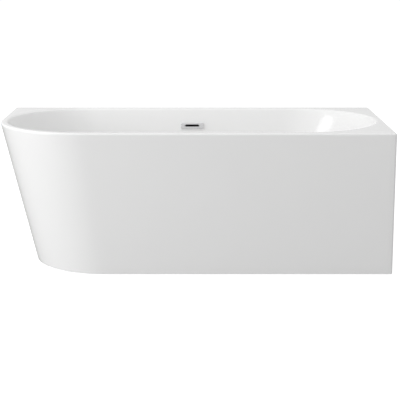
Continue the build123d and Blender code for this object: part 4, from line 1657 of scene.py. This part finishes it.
@dataclass
class Studio:
    """Pale floor, even white surroundings, soft lights and the camera."""

    bright_side: float = 0.9
    dim_side: float = 0.66
    floor_tone: float = 0.42
    floor_glow: float = 0.84
    seen_white: float = 1.05
    floor_half: float = 12.0
    floor_gap: float = 0.5 * MM
    aim: tuple[float, float, float] = (0, 0, 0.4)
    place: tuple[float, float, float] = (0.01483, -4.97517, 1.33933)
    pitch: float = 11.5547
    lens: float = 100.92
    shift: tuple[float, float] = (0.0119, -0.0471)
    lights: list[tuple[str, tuple[float, float, float], float, float]] = field(
        default_factory=lambda: [
            ("left_light", (-4.0, -1.9, 1.4), 3.2, 80.0),
            ("front_light", (-1.6, -4.5, 6.5), 8.0, 75.0),
        ]
    )

    def world(self) -> None:
        """White surroundings, brighter where they are only looked at."""
        world = bpy.data.worlds.new("studio")
        bpy.context.scene.world = world
        world.use_nodes = True
        tree = world.node_tree
        ground = tree.nodes["Background"]
        way = tree.nodes.new("ShaderNodeTexCoord").outputs["Generated"]
        split = add_node(tree, "ShaderNodeSeparateXYZ", Vector=way)
        across = add_node(
            tree, "ShaderNodeMapRange", Value=split.outputs["X"], From_Min=-1,
            To_Min=self.bright_side, To_Max=self.dim_side,
        )
        strength = self._seen_level(tree, across.outputs["Result"], self.seen_white)
        set_inputs(tree, ground, Color=(1, 1, 1, 1), Strength=strength)

    def _seen_level(self, tree: Tree, lighting: object, seen: float) -> Socket:
        """A strength with one value as a light and another where it is looked at.

        Args:
            tree: The node tree.
            lighting: The value that lights the bath, or the socket that gives it.
            seen: The value behind the bath.

        Returns:
            The strength.
        """
        ray = tree.nodes.new("ShaderNodeLightPath").outputs["Is Camera Ray"]
        level = add_node(tree, "ShaderNodeMapRange", Value=ray, To_Min=lighting, To_Max=seen)
        return level.outputs["Result"]

    def floor(self) -> None:
        """The pale floor under the bath."""
        paint = bpy.data.materials.new("pale_floor")
        paint.use_nodes = True
        tree = paint.node_tree
        set_inputs(
            tree, tree.nodes["Principled BSDF"], Base_Color=(self.floor_tone,) * 3 + (1,),
            Roughness=0.9, Specular_IOR_Level=0.0, Emission_Color=(1, 1, 1, 1),
            Emission_Strength=self._seen_level(tree, 0.0, self.floor_glow),
        )
        bm = bmesh.new()
        bmesh.ops.create_grid(bm, x_segments=1, y_segments=1, size=self.floor_half)
        mesh = bpy.data.meshes.new("pale_floor")
        bm.to_mesh(mesh)
        bm.free()
        mesh.materials.append(paint)
        ground = placed("pale_floor", mesh)
        ground.location.z = CAD_BOX[0][2] - self.floor_gap

    def lamps(self) -> None:
        """Large soft lights aimed at the bath."""
        for name, place, size, power in self.lights:
            lamp = bpy.data.lights.new(name, "AREA")
            lamp.shape = "DISK"
            lamp.size = size
            lamp.energy = power
            held = placed(name, lamp)
            held.location = place
            away = Vector(self.aim) - Vector(place)
            held.rotation_euler = away.to_track_quat("-Z", "Y").to_euler()

    def camera(self) -> None:
        """The camera: a long lens from the front, looking slightly down."""
        lens = bpy.data.cameras.new("camera")
        lens.sensor_width = 36
        lens.lens = self.lens
        lens.shift_x, lens.shift_y = self.shift
        lens.clip_end = 60
        held = placed("camera", lens)
        held.location = self.place
        held.rotation_euler = (math.radians(90 - self.pitch), 0, 0)
        bpy.context.scene.camera = held
        bpy.context.scene.view_settings.view_transform = "Standard"

    def build(self) -> None:
        """Sets the studio up."""
        self.world()
        self.floor()
        self.lamps()
        self.camera()


def timed(name: str, build: Callable[[], None]) -> None:
    """Builds one sub-assembly and reports it."""
    build()
    LOG.info("%s built", name)


def main() -> None:
    """Builds the bath and its studio."""
    logging.basicConfig(level=logging.INFO, format="%(message)s")
    low, high = Vector(CAD_BOX[0]), Vector(CAD_BOX[1])
    left_top = low.x - EDGE_OVERHANG
    form = BathForm(right=high.x, front=low.y, back=high.y, top=high.z, left_top=left_top)
    drain = middle("drain_flange")
    rise = form.top - OVERFLOW_DROP
    overflow = Vector((0, form.bowl(2.5, rise).y, rise))
    timed("shell", BathShell(form, drain, overflow).build)
    timed("backing", Backing().build)
    timed("frame", SupportFrame().build)
    timed("feet", LevellingFeet().build)
    timed("waste", Waste().build)
    timed("overflow", Overflow().build)
    timed("studio", Studio().build)


if __name__ == "__main__":
    main()
